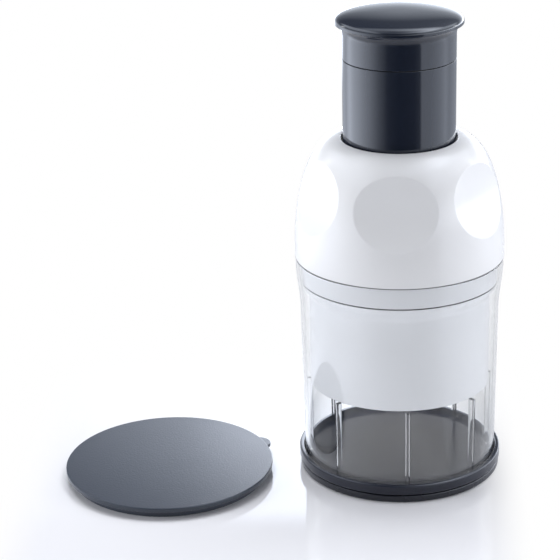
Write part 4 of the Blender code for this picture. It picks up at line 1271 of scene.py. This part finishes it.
# What is mirrored from the table, as (degrees from the front towards the right, radiance).
table_glow = [
    (-180, 0.40),
    (-166, 0.50),
    (-156, 1.0),
    (-132, 1.9),
    (-116, 4.3),
    (-88, 4.2),
    (-62, 2.8),
    (-40, 1.1),
    (-22, 0.15),
    (0, 0.02),
    (30, 0.08),
    (42, 0.35),
    (45, 1.85),
    (64, 1.9),
    (104, 2.5),
    (118, 1.5),
    (150, 0.78),
    (166, 0.5),
    (180, 0.40),
]
glow_colour = (0.82, 0.88, 1.0, 1.0)


def floor_material():
    """Glossy and pale near the object, white away from it to the camera and through the cup. The
    mirrored glow starts well out from the object, so that the cup's foot hardly sees it."""
    material, nodes, add, feed, calc = new_material("studio_floor")
    shader = nodes["Principled BSDF"]
    feed(shader, {"Base Color": (0.81, 0.815, 0.855, 1.0), "Roughness": 0.07, "IOR": 1.42})
    x, y, _ = parts_of(add, add("ShaderNodeTexCoord").outputs["Object"])
    ahead = calc("MULTIPLY", y, -1.0)
    kept = 1.0
    for away in (
        soft_step(add, calc("ABSOLUTE", calc("ADD", x, 0.065)), 0.098, 0.128),
        soft_step(add, y, -0.02, 0.13),
        soft_step(add, ahead, 0.12, 0.24),
    ):
        kept = calc("MULTIPLY", kept, calc("SUBTRACT", 1.0, away))
    fade = calc("SUBTRACT", 1.0, kept)
    path = add("ShaderNodeLightPath").outputs
    through = path["Is Transmission Ray"]
    azimuth = calc("ARCTAN2", x, ahead)
    off_front = calc("MULTIPLY", calc("ABSOLUTE", azimuth), 180.0 / math.pi)
    behind = soft_step(add, off_front, 105.0, 170.0, 0.35)
    strength = calc("MAXIMUM", behind, calc("SUBTRACT", 1.0, through))
    white = add("ShaderNodeEmission", {"Strength": strength}).outputs[0]
    dim = add("ShaderNodeBsdfDiffuse", {"Color": (0.93, 0.93, 0.94, 1.0)}).outputs[0]
    lit = mixed(add, path["Is Diffuse Ray"], shader.outputs[0], dim)
    seen = calc("MAXIMUM", path["Is Camera Ray"], through)
    plain = mixed(add, calc("MULTIPLY", fade, seen), lit, white)
    brightest = max(level for _, level in table_glow)
    stops = [((degrees + 180) / 360, level / brightest) for degrees, level in table_glow]
    round_table = levels_along(add, calc("MULTIPLY_ADD", azimuth, 0.5 / math.pi, 0.5), stops)
    strength = calc("MULTIPLY", round_table, brightest)
    glow = add("ShaderNodeEmission", {"Color": glow_colour, "Strength": strength}).outputs[0]
    flat = add("ShaderNodeCombineXYZ", {"X": x, "Y": y}).outputs[0]
    distance = add("ShaderNodeVectorMath", {0: flat}, operation="LENGTH").outputs["Value"]
    glowing = calc("MULTIPLY", path["Is Glossy Ray"], soft_step(add, distance, 0.30, 0.48, 0.12))
    feed(nodes["Material Output"], {"Surface": mixed(add, glowing, plain, glow)})
    return material


floor_half = 4.0
floor_drop = -0.0002
corner_signs = ((-1, -1), (1, -1), (1, 1), (-1, 1))
points = [(x * floor_half, y * floor_half, floor_drop) for x, y in corner_signs]
floor = mesh_piece("floor", points, [(0, 1, 2, 3)], floor_material())


# Studio surround. White to the camera and through the cup, an even glow on matt surfaces, and for
# mirrored rays a room that is bright at the horizon and near the top, brighter towards the right.

surround_levels = [
    (0.0, 0.6),
    (0.5, 3.5),
    (0.56, 2.4),
    (0.62, 0.8),
    (0.70, 0.2),
    (0.86, 0.35),
    (0.93, 3.4),
    (0.965, 3.0),
    (1.0, 1.5),
]


def surround():
    """The world's nodes, by the direction that a ray leaves in."""
    world = bpy.data.worlds.new("studio")
    bpy.context.scene.world = world
    world.use_nodes = True
    world.node_tree.nodes.clear()
    add, _, calc = wire(world.node_tree)
    x, y, z = parts_of(add, add("ShaderNodeTexCoord").outputs["Generated"])
    path = add("ShaderNodeLightPath").outputs
    through = path["Is Transmission Ray"]

    def sky(colour, strength):
        entries = {"Color": (*colour, 1.0), "Strength": strength}
        return add("ShaderNodeBackground", entries).outputs[0]

    even = sky((0.97, 0.975, 1.0), 0.15)
    level = levels_along(add, calc("MULTIPLY_ADD", z, 0.5, 0.5), surround_levels)
    back = calc("MULTIPLY_ADD", y, 0.35, 0.65)
    rightward = calc("MULTIPLY", soft_step(add, x, -0.15, 0.55, 0.6, 2.6), back)
    aside = calc("ABSOLUTE", x)
    sides = calc("POWER", aside, 3.0)
    glow = calc("MULTIPLY_ADD", sides, 0.9, calc("MULTIPLY", level, rightward))
    # Two soft patches high at the sides draw the highlights on the rim of the knob.
    patches = calc("MULTIPLY", soft_step(add, aside, 0.38, 0.58), soft_step(add, z, 0.38, 0.55))
    mirrored = sky((0.84, 0.90, 1.0), calc("MULTIPLY_ADD", patches, 2.2, glow))
    behind = soft_step(add, y, -0.1, 0.75, 0.35)
    white = sky((1.0, 1.0, 1.0), calc("MAXIMUM", behind, calc("SUBTRACT", 1.0, through)))
    seen = calc("MAXIMUM", path["Is Camera Ray"], through)
    lit = mixed(add, path["Is Glossy Ray"], even, mirrored)
    add("ShaderNodeOutputWorld", {"Surface": mixed(add, seen, lit, white)})


surround()


# Lamps. Soft boxes at both sides, and three more high up behind and beside the object, light it;
# two narrow strips behind it are only mirrored in its gloss.

lamp_target = Vector((0.0, 0.0, 0.11))


def soft_box(name, azimuth, distance, height, size, radiance, mirrored=False):
    """A square lamp at this direction from the front, which either lights or is mirrored."""
    lamp = bpy.data.lights.new(name, "AREA")
    lamp.shape = "RECTANGLE"
    lamp.size, lamp.size_y = size
    lamp.energy = radiance * math.pi * size[0] * size[1]
    lamp.color = (0.97, 0.98, 1.0)
    made = placed(name, lamp)
    angle = math.radians(azimuth)
    made.location = (distance * math.sin(angle), -distance * math.cos(angle), height)
    made.rotation_euler = (lamp_target - made.location).to_track_quat("-Z", "Y").to_euler()
    made.visible_camera = False
    made.visible_transmission = False
    made.visible_glossy = mirrored
    made.visible_diffuse = not mirrored


soft_box("left_box", -72.0, 0.80, 0.22, (0.42, 0.40), 6.8)
soft_box("right_box", 72.0, 0.75, 0.22, (0.50, 0.34), 4.7)
soft_box("back_high", 180.0, 0.34, 1.15, (0.9, 0.5), 4.7)
soft_box("left_high", -106.0, 0.42, 1.00, (0.5, 0.5), 3.6)
soft_box("right_high", 104.0, 0.42, 1.00, (0.5, 0.5), 4.6)
soft_box("left_strip", -118.0, 0.70, 0.42, (0.10, 0.22), 4.0, mirrored=True)
soft_box("right_strip", 118.0, 0.70, 0.42, (0.10, 0.22), 4.0, mirrored=True)


# Reflector. A bright upright card behind the object, brightest right of the middle and soft at
# its edges. It is seen only in glossy surfaces, as the sheen on the lid and the floor.

across_levels = [
    (0.0, 0.0),
    (0.20, 0.14),
    (0.38, 0.34),
    (0.50, 0.90),
    (0.62, 1.20),
    (0.74, 1.35),
    (0.88, 0.0),
]
upward_levels = [(0.3, 0.0), (0.55, 1.0), (0.80, 1.0), (0.92, 0.6), (0.98, 0.0)]


def reflector_material():
    """A glow added to a clear card, strong in its middle and gone at its edges."""
    material, nodes, add, feed, calc = new_material("reflector")
    nodes.remove(nodes["Principled BSDF"])
    x, _, z = parts_of(add, add("ShaderNodeTexCoord").outputs["Object"])
    across = levels_along(add, calc("MULTIPLY_ADD", x, 2.0, 0.7), across_levels, "EASE")
    upward = levels_along(add, calc("MULTIPLY", z, 4.0), upward_levels, "EASE")
    strength = calc("MULTIPLY", calc("MULTIPLY", across, upward), 7.5)
    glow = add("ShaderNodeEmission", {"Color": glow_colour, "Strength": strength}).outputs[0]
    clear_card = add("ShaderNodeBsdfTransparent").outputs[0]
    both = add("ShaderNodeAddShader", {0: clear_card, 1: glow}).outputs[0]
    feed(nodes["Material Output"], {"Surface": both})
    return material


card_left, card_right = -0.35, 0.05
card_bottom, card_top = 0.075, 0.245
card_back = 0.38
points = [
    (card_left, card_back, card_bottom),
    (card_right, card_back, card_bottom),
    (card_right, card_back, card_top),
    (card_left, card_back, card_top),
]
card = mesh_piece("reflector", points, [(0, 1, 2, 3)], reflector_material())
card.visible_camera = False
card.visible_diffuse = False
card.visible_transmission = False
card.visible_shadow = False


# Camera. A long lens that looks down on the object from in front, a little turned and tilted, as
# the photograph was taken.

image_width = 560
focal_length = 2011.6  # in widths of a pixel
camera_data = bpy.data.cameras.new("camera")
camera_data.sensor_width = 36.0
camera_data.lens = focal_length * camera_data.sensor_width / image_width
camera = placed("camera", camera_data)
yaw, pitch, roll = math.radians(-3.64), math.radians(21.24), math.radians(-1.35)
forward = Vector((math.sin(yaw) * math.cos(pitch), math.cos(yaw) * math.cos(pitch), -math.sin(pitch)))
right = Vector((math.cos(yaw), -math.sin(yaw), 0.0))
up = right.cross(forward)
camera_x = right * math.cos(roll) + up * math.sin(roll)
camera_y = up * math.cos(roll) - right * math.sin(roll)
turn = Matrix((camera_x, camera_y, -forward)).transposed()
camera.matrix_world = Matrix.Translation((0.0, -0.91587, 0.45256)) @ turn.to_4x4()
bpy.context.scene.camera = camera
bpy.context.scene.view_settings.view_transform = "Standard"
